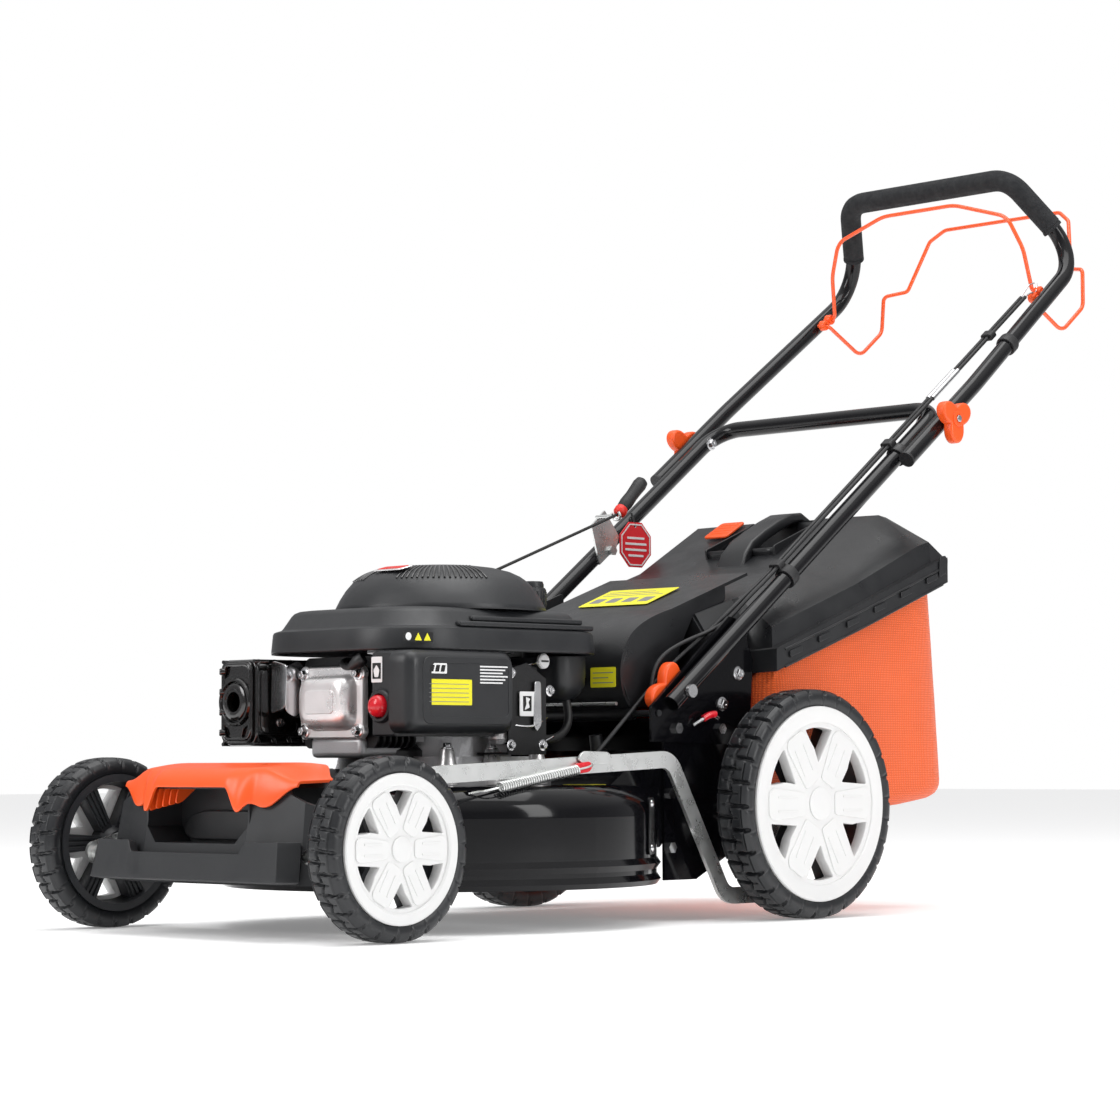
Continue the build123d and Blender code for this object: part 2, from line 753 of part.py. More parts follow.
grip_foot = rope_end + rope_aim * 6
grip_tip = Vector(*at(-150, 820, 570))
grip_aim = (grip_tip - grip_foot).normalized()
rope_core_length = 170.0
with BuildPart() as starter_grip:
    with BuildSketch(Plane(origin=grip_foot, z_dir=rope_aim)):
        Circle(6)
    extrude(amount=8)
    with BuildSketch(Plane(origin=grip_foot + rope_aim * 6, z_dir=grip_aim)):
        Circle(9)
    extrude(amount=(grip_tip - grip_foot).length)
    fillet(starter_grip.edges().filter_by(GeomType.CIRCLE).sort_by(Axis.Z)[-1], radius=5)
    with BuildSketch(Plane(origin=grip_foot, z_dir=-rope_aim)):
        Circle(rope_core_radius)
    extrude(amount=rope_core_length)
save(starter_grip.part, "starter_grip")

filter_outer_x = 158.0
bulb_spot = (105.0, 256.0)
bulb_radius = 13.0
filter_front = 118.0
with BuildPart() as air_filter:
    with BuildSketch(level(222)):
        with Locations((108, 199)):
            RectangleRounded(44, 162, 8)
    extrude(amount=96)
    with BuildSketch(side(124)):
        with Locations((197, 271)):
            RectangleRounded(170, 97, 16)
    extrude(amount=filter_outer_x - 124)
    fillet(air_filter.faces().sort_by(Axis.X)[-1].edges(), radius=9)
    with BuildSketch(facing(filter_front)):
        with Locations(bulb_spot):
            Circle(19)
    extrude(amount=4)
    with BuildSketch(facing(filter_front - 4)):
        with Locations(bulb_spot):
            Circle(bulb_radius + 0.4)
    extrude(amount=-24, mode=Mode.SUBTRACT)
    # room for the filter element, behind the primer's socket
    with BuildSketch(level(226)):
        with Locations((108, 214)):
            Rectangle(36, 124)
    extrude(amount=88, mode=Mode.SUBTRACT)
    with BuildSketch(side(125)):
        with Locations((212, 271)):
            Rectangle(120, 80)
    extrude(amount=filter_outer_x - 125 - 4, mode=Mode.SUBTRACT)
save(air_filter.part, "air_filter")

with BuildPart() as primer_bulb:
    with BuildSketch(facing(filter_front + 8)):
        with Locations(bulb_spot):
            Circle(bulb_radius)
    extrude(amount=22)
    fillet(primer_bulb.faces().sort_by(Axis.Y)[0].edges(), radius=8)
save(primer_bulb.part, "primer_bulb")

with BuildPart() as carburettor:
    with BuildSketch(level(238)):
        with Locations((110, 306)):
            RectangleRounded(44, 46, 6)
    extrude(amount=52)
    with BuildSketch(level(214)):
        with Locations((110, 306)):
            Circle(17)
    extrude(amount=24)
    with BuildSketch(facing(330)):
        with Locations((110, 270)):
            Circle(15)
    extrude(amount=47.5)
save(carburettor.part, "carburettor")

lever_pivot = (330.0, 262.0)
control_x = 134.0
with BuildPart() as control_plate:
    with BuildSketch(side(control_x)):
        Polygon((288, 201), (288, 300), (318, 308), (350, 290), (350, 201), align=None)
        with Locations(lever_pivot):
            Circle(3 + running_gap, mode=Mode.SUBTRACT)
    extrude(amount=2.5)
    with BuildSketch(level(201)):
        with Locations(((control_x + case_radius + 2.5) / 2, 319)):
            Rectangle(control_x - case_radius + 2.5, 62)
    extrude(amount=2.5)
save(control_plate.part, "control_plate")

with BuildPart() as choke_lever:
    with BuildSketch(side(control_x + 3.2)):
        with Locations((lever_pivot[0] - 4, lever_pivot[1] - 8)):
            Rectangle(26, 40)
    extrude(amount=2)
    with BuildSketch(side(control_x - 1.5)):
        with Locations(lever_pivot):
            Circle(3)
    extrude(amount=6.7)
    with BuildSketch(side(control_x + 3.2)):
        with Locations((lever_pivot[0] + 4, lever_pivot[1] + 26)):
            Rectangle(9, 32)
    extrude(amount=2)
save(choke_lever.part, "choke_lever")

tank_low = 264.0
with BuildPart() as fuel_tank:
    with BuildSketch(level(tank_low)):
        with Locations((38, 422)):
            RectangleRounded(156, 54, 22)
    extrude(amount=54)
    fillet(fuel_tank.faces().sort_by(Axis.Z)[0].edges(), radius=18)
    with BuildSketch(level(tank_low + 54)):
        with Locations(filler_spot):
            Circle(12)
    extrude(amount=74)
    # outlet stub and the hose towards the carburettor
    sweep_round([at(100, 425, 266), at(108, 404, 228), at(114, 366, 220), at(112, 331, 222)], 14, 3.2)
save(fuel_tank.part, "fuel_tank")

cap_low = 380.0
with BuildPart() as fuel_cap:
    with BuildSketch(level(cap_low)):
        with Locations(filler_spot):
            Circle(18)
    extrude(amount=34)
    chamfer(fuel_cap.edges().filter_by(GeomType.CIRCLE).sort_by(Axis.Z)[-1], length=3)
    with BuildSketch(level(cap_low)):
        with Locations(filler_spot):
            Circle(12 + running_gap)
    extrude(amount=14, mode=Mode.SUBTRACT)
save(fuel_cap.part, "fuel_cap")

dipstick_spot = (-176.0, 390.0)
with BuildPart() as dipstick:
    with BuildSketch(level(300)):
        with Locations(dipstick_spot):
            Circle(15)
            with PolarLocations(15, 10):
                Circle(2.5, mode=Mode.SUBTRACT)
    extrude(amount=14)
    with BuildSketch(level(300)):
        with Locations(dipstick_spot):
            Circle(3)
    extrude(amount=-52)
save(dipstick.part, "dipstick")

# ---- wheel drive ---------------------------------------------------------------------------
gearbox_x = 40.0
pulley_spot = (gearbox_x, wheelbase - 14)
pulley_outer = 34.0
with BuildPart() as gearbox:
    with BuildSketch(side(gearbox_x - 24)):
        with Locations((wheelbase + 8, rear_tyre_radius)):
            RectangleRounded(56, 44, 16)
    extrude(amount=48)
    with BuildSketch(side(-link_bar_x + 3)):
        with Locations((wheelbase, rear_tyre_radius)):
            Circle(7)
    extrude(amount=2 * link_bar_x - 6)
    with BuildSketch(level(belt_low + belt_width)):
        with Locations(pulley_spot):
            Circle(6)
    extrude(amount=rear_tyre_radius - 20 - belt_low - belt_width)
    with BuildSketch(level(belt_low)):
        with Locations(pulley_spot):
            Circle(pulley_outer - 6)
    extrude(amount=belt_width)
save(gearbox.part, "gearbox")

with BuildPart() as drive_belt:
    with BuildSketch(level(belt_low)):
        with BuildLine():
            ThreePointArc((36, crank_y), (0, crank_y - 36), (-36, crank_y))
            Line((-36, crank_y), (gearbox_x - pulley_outer, pulley_spot[1]))
            ThreePointArc(
                (gearbox_x - pulley_outer, pulley_spot[1]), (gearbox_x, pulley_spot[1] + pulley_outer),
                (gearbox_x + pulley_outer, pulley_spot[1]),
            )
            Line((gearbox_x + pulley_outer, pulley_spot[1]), (36, crank_y))
        make_face()
        offset(amount=-4.5, mode=Mode.SUBTRACT)
    extrude(amount=belt_width)
save(drive_belt.part, "drive_belt")

# ---- handles -------------------------------------------------------------------------------
fold_z = handle_z(fold_bolt_y)
cross_bar_y = 1030.0
grip_low = (202.0, 1347.0, handle_z(1347.0))
grip_high = (143.0, 1262.0, 1005.0)
brake_pivot = (1268.0, handle_z(1268.0) + 4)
drive_pivot = (1255.0, handle_z(1255.0) + 4)
bail_hole = bail_wire_radius + running_gap


def mirrored(points):
    """A route's right half after its left half, from the left end over to the right end."""
    return points + [(-x, y, z) for x, y, z in reversed(points)]


with BuildPart() as lower_handle:
    route = mirrored([
        at(lower_tube_x, 500, handle_z(500)),
        at(lower_tube_x, cross_bar_y, handle_z(cross_bar_y)),
    ])
    sweep_round(route, 42, tube_radius, tube_radius - tube_wall)
    with BuildSketch(side(-lower_tube_x - 30)):
        with Locations(handle_pivot):
            Circle(stud_radius + running_gap)
    extrude(amount=2 * lower_tube_x + 60, mode=Mode.SUBTRACT)
    # the studs that the upper handle turns on
    for hand in (-1, 1):
        with BuildSketch(side(hand * (lower_tube_x - 6))):
            with Locations((fold_bolt_y, fold_z)):
                Circle(stud_radius)
        extrude(amount=hand * (upper_tube_x + 34 - lower_tube_x))
save(lower_handle.part, "lower_handle")

with BuildPart() as upper_handle:
    route = mirrored([
        at(upper_tube_x, 930, handle_z(930)), at(upper_tube_x, 1075, handle_z(1075)),
        at(*grip_low), at(*grip_high),
    ])
    sweep_round(route, [300, 62, 42, 42, 62, 300], tube_radius, tube_radius - tube_wall)
    with BuildSketch(side(-upper_tube_x - 30)):
        with Locations((fold_bolt_y, fold_z)):
            Circle(stud_radius + running_gap)
    extrude(amount=2 * upper_tube_x + 60, mode=Mode.SUBTRACT)
    with BuildSketch(side(-205)):
        with Locations(brake_pivot, drive_pivot):
            Circle(bail_hole)
    extrude(amount=410, mode=Mode.SUBTRACT)
save(upper_handle.part, "upper_handle")

foam_radius = 15.0
foam_start = Vector(*at(*grip_low)) * 0.6 + Vector(*at(*grip_high)) * 0.4
with BuildPart() as foam_grip:
    half = [tuple(foam_start), at(*grip_high)]
    sweep_round(mirrored(half), 42, foam_radius, tube_radius + 0.1)
save(foam_grip.part, "foam_grip")

knob_depth = 16.0
knob_reach = 21.0
knob_places = [
    ("knob_lower_left", 1, bracket_x - 1.2 - knob_depth, handle_pivot),
    ("knob_lower_right", -1, bracket_x - 1.2 - knob_depth, handle_pivot),
    ("knob_upper_left", 1, upper_tube_x + tube_radius + 1.2, (fold_bolt_y, fold_z)),
    ("knob_upper_right", -1, upper_tube_x + tube_radius + 1.2, (fold_bolt_y, fold_z)),
]
for name, hand, face_x, (knob_y, knob_z) in knob_places:
    knob_plane = Plane(origin=at(hand * face_x, knob_y, knob_z), x_dir=(0, 1, 0), z_dir=(hand, 0, 0))
    with BuildPart() as knob:
        with BuildSketch(knob_plane):
            Circle(13)
            with PolarLocations(knob_reach / 2, 3, start_angle=30):
                Rectangle(knob_reach, 15)
            with PolarLocations(knob_reach, 3, start_angle=30):
                Circle(9)
            Circle(stud_radius + running_gap, mode=Mode.SUBTRACT)
        extrude(amount=knob_depth)
    save(knob.part, name)

brake_lean = Vector(0, -0.2, 0.98).normalized()
with BuildPart() as brake_bail:
    brake_centre = Vector(*at(0, *brake_pivot))
    half = [
        brake_centre + Vector(200, 0, 0), brake_centre + Vector(178, 0, 0),
        brake_centre + Vector(172, 0, 0) + brake_lean * 62,
        brake_centre + Vector(152, 0, 0) + brake_lean * 110,
        brake_centre + Vector(64, 0, 0) + brake_lean * 137,
    ]
    sweep_round(mirrored([tuple(v) for v in half]), [9, 60, 30, 80, 80, 30, 60, 9], bail_wire_radius)
save(brake_bail.part, "brake_bail")

with BuildPart() as drive_bail:
    half = [
        at(200, *drive_pivot), at(182, *drive_pivot), at(182, 1330, 792), at(182, 1382, 832),
        at(180, 1385, 886), at(148, 1402, 892), at(126, 1429, 968), at(104, 1438, 984),
    ]
    bends = [9, 22, 18, 9, 9, 12, 14]
    sweep_round(mirrored(half), bends + bends[::-1], bail_wire_radius)
save(drive_bail.part, "drive_bail")

# ---- cables, rope guide and tag ------------------------------------------------------------
cable_rise = 16.5              # cable centre above the tube's centreline, square to it
square = Vector(0, -0.6, 0.8)


def by_tube(x, y, rise=cable_rise):
    """A point beside the left tubes, rise above their centreline."""
    return tuple(Vector(*at(x, y, handle_z(y))) + square * rise)


with BuildPart() as cables_upper:
    for cable_x in (193.0, 186.0):
        sweep_round([by_tube(cable_x, 1012), by_tube(cable_x, 1240)], None, cable_radius)
save(cables_upper.part, "cables_upper")

clip_y = 712.0
with BuildPart() as cables_lower:
    for cable_x in (193.0, 186.0):
        sweep_round([by_tube(cable_x, clip_y), by_tube(cable_x, 986)], None, cable_radius)
save(cables_lower.part, "cables_lower")

with BuildPart() as cables_engine:
    sweep_round(
        [by_tube(193, clip_y), by_tube(193, 676), at(162, 590, 347), at(162, 512, 316),
         at(162, 505, 262), at(162, 536, 226)],
        [40, 90, 34, 26], cable_radius,
    )
    sweep_round(
        [by_tube(186, clip_y), by_tube(186, 680), at(156, 520, 290), at(140, 424, 196)],
        [40, 150], cable_radius,
    )
save(cables_engine.part, "cables_engine")

guide_x = 150.0
with BuildPart() as rope_guide:
    guide_plane = Plane(origin=rope_end, x_dir=(1, 0, 0), z_dir=rope_aim)
    with BuildLine(guide_plane):
        CenterArc((0, 0), 6.5, -35, 250)
    hook_line = rope_guide.pending_edges_as_wire
    with BuildSketch(Plane(origin=hook_line @ 0, z_dir=hook_line % 0)):
        Circle(2)
    sweep(path=hook_line)
    with BuildSketch(side(-guide_x - 7)):
        with Locations((771, 522)):
            Circle(3)
    extrude(amount=-(lower_tube_x - tube_radius - guide_x - 7))
    with BuildSketch(side(-lower_tube_x + tube_radius)):
        Polygon((758, 510), (784, 532), (812, 498), (806, 482), (774, 458), align=None)
    extrude(amount=3)
    with BuildSketch(side(-lower_tube_x + tube_radius + 3)):
        with Locations((796, 478)):
            RegularPolygon(7, 6)
    extrude(amount=5)
save(rope_guide.part, "rope_guide")

tag_pivot = (842.0, 522.0)
with BuildPart() as hang_tag:
    with BuildSketch(side(-183.4)):
        with Locations((tag_pivot[0], tag_pivot[1] - 34)):
            RegularPolygon(33, 8, rotation=22.5)
    extrude(amount=1.6)
save(hang_tag.part, "hang_tag")

# ---- grass catcher and flap ----------------------------------------------------------------
# distance back, then half widths and heights of the lip, shoulder and roof
catcher_stations = [
    (602, 177, 276, 304, 173, 336, 145, 374),
    (668, 177, 301, 328, 174, 356, 147, 394),
    (676, 214, 303, 331, 206, 358, 151, 397),
    (825, 228, 359, 390, 216, 415, 158, 446),
    (945, 235, 406, 440, 225, 470, 160, 514),
    (966, 236, 414, 448, 226, 476, 156, 512),
    (990, 238, 424, 456, 205, 458, 150, 460),
]
cover_wall = 4.0


def add_cover_solid(inset, mode=Mode.ADD):
    """The catcher cover as a faceted solid, drawn in by inset on every side but below and in front."""
    sections = []
    for place, (back, lip, low, ledge, shoulder, neck, roof, top) in enumerate(catcher_stations):
        station = back
        if inset:
            station = back - 10 if place == 0 else back - inset
        outline = [
            (lip - inset, low - inset), (lip - inset, ledge - inset), (shoulder - inset, neck - inset),
            (roof - inset, top - inset),
        ]
        outline += [(-x, z) for x, z in reversed(outline)]
        with BuildSketch(facing(station), mode=Mode.PRIVATE) as section:
            Polygon(*outline, align=None)
        sections.append(section.sketch)
    loft(sections=sections, ruled=True, mode=mode)


with BuildPart() as bag_cover:
    add_cover_solid(0)
    add_cover_solid(cover_wall, Mode.SUBTRACT)
    # the scoop under the carrying handle, with its own floor
    with BuildSketch(side(-62)):
        Polygon((826, 400), (826, 448), (870, 470), (952, 524), (978, 520), (978, 440), align=None)
    extrude(amount=124)
    with BuildSketch(side(-58)):
        Polygon((846, 460), (860, 424), (930, 450), (948, 530), (900, 530), (846, 480), align=None)
    extrude(amount=116, mode=Mode.SUBTRACT)
    with BuildSketch(side(-21)):
        Polygon((838, 444), (846, 468), (944, 524), (958, 524), (958, 506), (948, 504), (858, 452),
                align=None)
    extrude(amount=42)
save(bag_cover.part, "bag_cover")

fabric_half = 206.0
fabric_wall = 3.0
mouth_half = 168.0
fabric_outline = [
    (676, 184), (676, 316), (980, 438), (1021, 146), (905, 131), (792, 133), (740, 184),
]
fabric_inside = [
    (670, 187), (670, 324), (976, 450), (1017, 150), (905, 134), (793, 136), (742, 187),
]
with BuildPart() as bag_fabric:
    with BuildSketch(side(-fabric_half)):
        Polygon(*fabric_outline, align=None)
    extrude(amount=2 * fabric_half)
    with BuildSketch(side(-fabric_half + fabric_wall)):
        Polygon(*fabric_inside, align=None)
    extrude(amount=2 * (fabric_half - fabric_wall), mode=Mode.SUBTRACT)
    # the narrow mouth that hooks on behind the discharge tunnel
    with BuildSketch(facing(680)):
        with Locations((0, 236)):
            Rectangle(2 * mouth_half, 104)
    extrude(amount=70)
    with BuildSketch(facing(681)):
        with Locations((0, 239)):
            Rectangle(2 * mouth_half - 6, 104)
    extrude(amount=74, mode=Mode.SUBTRACT)
save(bag_fabric.part, "bag_fabric")

with BuildPart() as bag_indicator:
    with BuildSketch(side(-112)):
        Polygon((906, 492.9), (904.5, 495.6), (942.5, 517.1), (944, 514.4), align=None)
    extrude(amount=40)
save(bag_indicator.part, "bag_indicator")

flap_half = 145.0
with BuildPart() as rear_flap:
    with BuildSketch(side(-flap_half)):
        with BuildLine():
            Spline((486, 256), (468, 296), (482, 340), (520, 366), (560, 379))
            Polyline((560, 379), (700, 429), (701.5, 425.5), (561, 375))
            Spline((561, 375), (522, 362), (486, 337), (472, 297), (490, 256))
            Line((490, 256), (486, 256))
        make_face()
        with Locations(flap_hinge):
            Circle(8)
    extrude(amount=2 * flap_half)
    # the right rear corner is cut back, so that the flap clears the starter rope as it opens
    with BuildSketch(level(330)):
        Polygon((-flap_half - 1, 530), (-94, 582), (-94, 710), (-flap_half - 1, 710), align=None)
    extrude(amount=120, mode=Mode.SUBTRACT)
    with BuildSketch(side(-bracket_x - plate_thickness - 2)):
        with Locations(flap_hinge):
            Circle(stud_radius)
    extrude(amount=2 * (bracket_x + plate_thickness + 2))
save(rear_flap.part, "rear_flap")
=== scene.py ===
import math

import bpy
from mathutils import Matrix, Vector


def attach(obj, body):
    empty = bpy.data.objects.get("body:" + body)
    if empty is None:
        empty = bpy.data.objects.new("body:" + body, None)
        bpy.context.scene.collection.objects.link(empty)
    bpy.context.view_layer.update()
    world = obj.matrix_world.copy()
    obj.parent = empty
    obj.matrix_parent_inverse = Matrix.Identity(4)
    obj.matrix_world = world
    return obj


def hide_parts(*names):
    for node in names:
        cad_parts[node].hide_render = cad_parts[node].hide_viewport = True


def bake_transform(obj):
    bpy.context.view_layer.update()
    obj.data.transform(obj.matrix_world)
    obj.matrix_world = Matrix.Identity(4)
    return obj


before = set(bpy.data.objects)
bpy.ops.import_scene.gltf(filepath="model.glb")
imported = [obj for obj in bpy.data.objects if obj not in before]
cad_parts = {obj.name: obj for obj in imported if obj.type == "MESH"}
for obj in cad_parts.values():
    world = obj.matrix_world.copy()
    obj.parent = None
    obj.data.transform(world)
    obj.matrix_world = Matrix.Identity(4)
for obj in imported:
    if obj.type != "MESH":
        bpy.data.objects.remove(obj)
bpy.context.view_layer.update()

AXLE_Y = -671.0                # front axle in the shared frame, millimetres
WHEELBASE = 684.0
CRANK_Y = 308.0                # crankshaft, behind the front axle
X, Y, Z = Vector((1, 0, 0)), Vector((0, 1, 0)), Vector((0, 0, 1))


def at(x, y, z):
    """Point in metres from millimetres, with y counted rearwards from the front axle."""
    return Vector((x / 1000, (y + AXLE_Y) / 1000, z / 1000))


def through(*points):
    """A route through points given in millimetres."""
    return [at(*point) for point in points]


# ---- materials ------------------------------------------------------------------------------
def nodes_of(name):
    mat = bpy.data.materials.new(name)
    mat.use_nodes = True
    tree = mat.node_tree
    return mat, tree, tree.nodes["Principled BSDF"]


def feed(tree, node, values):
    """Set a node's inputs and properties; an input that is given an output is joined to it."""
    for key, value in values.items():
        if isinstance(value, bpy.types.NodeSocket):
            tree.links.new(value, node.inputs[key])
        elif isinstance(key, int) or key in node.inputs:
            node.inputs[key].default_value = value
        else:
            setattr(node, key, value)
    return node


def add(tree, kind, **values):
    return feed(tree, tree.nodes.new(kind), values)


def mixed(tree, factor, low, high):
    """The output of a mix between two colours."""
    return feed(tree, add(tree, "ShaderNodeMix", data_type="RGBA"), {0: factor, 6: low, 7: high}).outputs[2]


def tint(color, factor):
    return tuple(min(1.0, c * factor) for c in color[:3]) + (1.0,)


def surface(name, color, rough=0.5, metal=0.0, coat=0.0, shade=0.12, patch=22.0, grain=900.0,
            bump=0.12, rough_span=0.25, cells=False, specular=0.5):
    """Painted, moulded, cast or plated surface with broad colour drift, fine grain and uneven gloss."""
    mat, tree, bsdf = nodes_of(name)
    coord = add(tree, "ShaderNodeTexCoord").outputs["Object"]
    broad = add(tree, "ShaderNodeTexNoise", Vector=coord, Scale=patch, Detail=6.0,
                Roughness=0.6).outputs["Fac"]
    spread = feed(tree, add(tree, "ShaderNodeMapRange"), {
        "Value": broad, "From Min": 0.3, "From Max": 0.7,
        "To Min": rough * (1 - rough_span), "To Max": min(1.0, rough * (1 + rough_span)),
    })
    if cells:
        height = add(tree, "ShaderNodeTexVoronoi", Vector=coord, Scale=grain).outputs["Distance"]
    else:
        height = add(tree, "ShaderNodeTexNoise", Vector=coord, Scale=grain, Detail=3.0).outputs["Fac"]
    relief = add(tree, "ShaderNodeBump", Height=height, Strength=bump, Distance=0.001)
    feed(tree, bsdf, {
        "Base Color": mixed(tree, broad, tint(color, 1 - shade), tint(color, 1 + shade)),
        "Roughness": spread.outputs["Result"], "Normal": relief.outputs["Normal"], "Metallic": metal,
        "Coat Weight": coat, "Coat Roughness": 0.04, "Specular IOR Level": specular,
    })
    return mat


def mesh_cloth(name, color):
    """Knitted mesh: two sets of fine ribs, with painted shade between the stitches, and slow fading."""
    mat, tree, bsdf = nodes_of(name)
    coord = add(tree, "ShaderNodeTexCoord").outputs["Object"]
    turned = add(tree, "ShaderNodeMapping", Vector=coord,
                 Rotation=(0, 0, math.radians(45))).outputs["Vector"]
    rows = add(tree, "ShaderNodeTexWave", wave_type="BANDS", bands_direction="Z", Vector=coord, Scale=105.0,
               Distortion=0.6, Detail=1.0).outputs["Fac"]
    columns = add(tree, "ShaderNodeTexWave", wave_type="BANDS", bands_direction="X", Vector=turned,
                  Scale=120.0, Distortion=0.9, Detail=1.0).outputs["Fac"]
    knit = feed(tree, add(tree, "ShaderNodeMath", operation="MULTIPLY"), {0: rows, 1: columns}).outputs[0]
    fade = add(tree, "ShaderNodeTexNoise", Vector=coord, Scale=9.0, Detail=4.0).outputs["Fac"]
    # the colour follows the knit's relief: painted shade between the stitches, under slow random fading
    level = feed(tree, add(tree, "ShaderNodeMath", operation="MULTIPLY_ADD"), {0: fade, 1: 0.5, 2: knit})
    relief = add(tree, "ShaderNodeBump", Height=knit, Strength=0.6, Distance=0.0012)
    feed(tree, bsdf, {
        "Base Color": mixed(tree, level.outputs[0], tint(color, 0.62), tint(color, 1.15)),
        "Normal": relief.outputs["Normal"], "Sheen Weight": 0.25, "Roughness": 0.72,
    })
    return mat


ORANGE = (0.93, 0.1, 0.012)
tyre_rubber = surface("tyre_rubber", (0.014, 0.015, 0.017), 0.36, shade=0.3, grain=700, bump=0.18)
wheel_white = surface("wheel_white", (0.74, 0.74, 0.735), 0.38, shade=0.02, grain=900, bump=0.04, coat=0.2)
wheel_black = surface("wheel_black", (0.02, 0.021, 0.024), 0.42, shade=0.2, bump=0.1)
deck_paint = surface("deck_paint", (0.003, 0.003, 0.004), 0.12, coat=0.15, shade=0.1, grain=260, bump=0.008,
                     specular=0.2)
tube_paint = surface("tube_paint", (0.005, 0.005, 0.006), 0.16, coat=0.15, shade=0.1, grain=120, bump=0.008,
                     rough_span=0.1, specular=0.3)
galvanised = surface("galvanised", (0.74, 0.75, 0.74), 0.3, metal=0.9, shade=0.05, patch=60, grain=300,
                     bump=0.015)
bright_steel = surface("bright_steel", (0.7, 0.7, 0.71), 0.2, metal=1.0, shade=0.1, grain=600, bump=0.05)
spun_steel = surface("spun_steel", (0.5, 0.5, 0.51), 0.33, metal=1.0, shade=0.15, grain=500, bump=0.1)
cast_alloy = surface("cast_alloy", (0.5, 0.5, 0.51), 0.42, metal=0.85, shade=0.2, grain=520, bump=0.45)
cover_alloy = surface("cover_alloy", (0.92, 0.9, 0.9), 0.3, metal=0.7, shade=0.08, grain=700, bump=0.18)
cast_black = surface("cast_black", (0.012, 0.012, 0.013), 0.4, metal=0.3, shade=0.3, grain=520, bump=0.4)
shroud_plastic = surface("shroud_plastic", (0.015, 0.016, 0.018), 0.4, shade=0.12, grain=1500, bump=0.1)
trim_plastic = surface("trim_plastic", (0.018, 0.019, 0.021), 0.48, shade=0.12, grain=1300, bump=0.16)
bag_plastic = surface("bag_plastic", (0.012, 0.0125, 0.014), 0.33, shade=0.14, grain=1200, bump=0.12)
muffler_enamel = surface("muffler_enamel", (0.006, 0.006, 0.006), 0.16, coat=0.7, shade=0.3, grain=320,
                         bump=0.06)
orange_plastic = surface("orange_plastic", ORANGE, 0.36, shade=0.04, grain=500, bump=0.02)
orange_coat = surface("orange_coat", ORANGE, 0.28, coat=0.4, shade=0.05, grain=500, bump=0.05)
red_rubber = surface("red_rubber", (0.72, 0.008, 0.02), 0.25, coat=0.3, shade=0.08, grain=600, bump=0.05)
red_paint = surface("red_paint", (0.7, 0.02, 0.01), 0.35, shade=0.08)
tag_plastic = surface("tag_plastic", (0.72, 0.02, 0.03), 0.4, shade=0.05, grain=900, bump=0.05)
black_rubber = surface("black_rubber", (0.012, 0.012, 0.013), 0.5, shade=0.2, grain=800, bump=0.15)
foam_rubber = surface("foam_rubber", (0.012, 0.013, 0.015), 0.85, shade=0.25, patch=90, grain=1500,
                      bump=0.7, cells=True)
rope_fibre = surface("rope_fibre", (0.03, 0.03, 0.03), 0.8, shade=0.5, patch=700, grain=1600, bump=0.8)
sticker_yellow = surface("sticker_yellow", (0.85, 0.78, 0.02), 0.4, shade=0.04, grain=500, bump=0.02)
sticker_white = surface("sticker_white", (0.8, 0.8, 0.8), 0.4, shade=0.04, grain=500, bump=0.02)
sticker_black = surface("sticker_black", (0.01, 0.01, 0.01), 0.3, shade=0.1, grain=500, bump=0.02)
grey_ink = surface("grey_ink", (0.22, 0.22, 0.22), 0.5, shade=0.1)
orange_mesh = mesh_cloth("orange_mesh", (0.98, 0.125, 0.012))

# ---- outlines and directions ----------------------------------------------------------------
def around(u, v, angle):
    """The direction at an angle from u towards v."""
    return u * math.cos(angle) + v * math.sin(angle)


def polar(radius, angle, centre=(0.0, 0.0)):
    return centre[0] + radius * math.cos(angle), centre[1] + radius * math.sin(angle)


def circle(radius, count, centre=(0.0, 0.0), start=0.0):
    return [polar(radius, start + 2 * math.pi * k / count, centre) for k in range(count)]


def rounded(points, radius, steps=5):
    """Round a polygon's corners; radius may be one number or one for each corner."""
    result = []
    count = len(points)
    for i, corner in enumerate(points):
        reach = radius[i] if isinstance(radius, (list, tuple)) else radius
        c = Vector(corner)
        a, b = Vector(points[i - 1]) - c, Vector(points[(i + 1) % count]) - c
        reach = min(reach, a.length * 0.48, b.length * 0.48)
        if reach < 0.05:
            result.append(tuple(c))
            continue
        start, end = c + a.normalized() * reach, c + b.normalized() * reach
        for k in range(steps + 1):
            t = k / steps
            result.append(tuple(start * (1 - t) ** 2 + c * (2 * t * (1 - t)) + end * t * t))
    return result


def rect(x0, y0, x1, y1, radius=0.0, steps=5):
    """A rectangle between two corners, with round corners where a radius is given."""
    corners = [(x0, y0), (x1, y0), (x1, y1), (x0, y1)]
    return rounded(corners, radius, steps) if radius else corners


def basis(axis, up=Vector((0, 0, 1))):
    axis = axis.normalized()
    if abs(axis.dot(up)) > 0.95:
        up = Vector((0, 1, 0))
    u = up.cross(axis).normalized()
    return u, axis.cross(u), axis


def mirrored(half):
    """Half an outline and its mirror image across the first axis."""
    return half + [(x, -y) for x, y in reversed(half)]


def smoothstep(low, high, value):
    t = max(0.0, min(1.0, (value - low) / (high - low)))
    return t * t * (3 - 2 * t)


# ---- mesh helpers ---------------------------------------------------------------------------
def new_object(name, data):
    obj = bpy.data.objects.new(name, data)
    bpy.context.scene.collection.objects.link(obj)
    return obj


def smooth(mesh, sharp):
    """Shade a mesh smooth, but for edges past an angle in degrees, if one is given."""
    mesh.polygons.foreach_set("use_smooth", [True] * len(mesh.polygons))
    if sharp:
        mesh.set_sharp_from_angle(angle=math.radians(sharp))


def mesh_object(name, verts, faces, sharp=35.0):
    mesh = bpy.data.meshes.new(name)
    mesh.from_pydata([tuple(v) for v in verts], [], faces)
    mesh.update()
    smooth(mesh, sharp)
    return new_object(name, mesh)


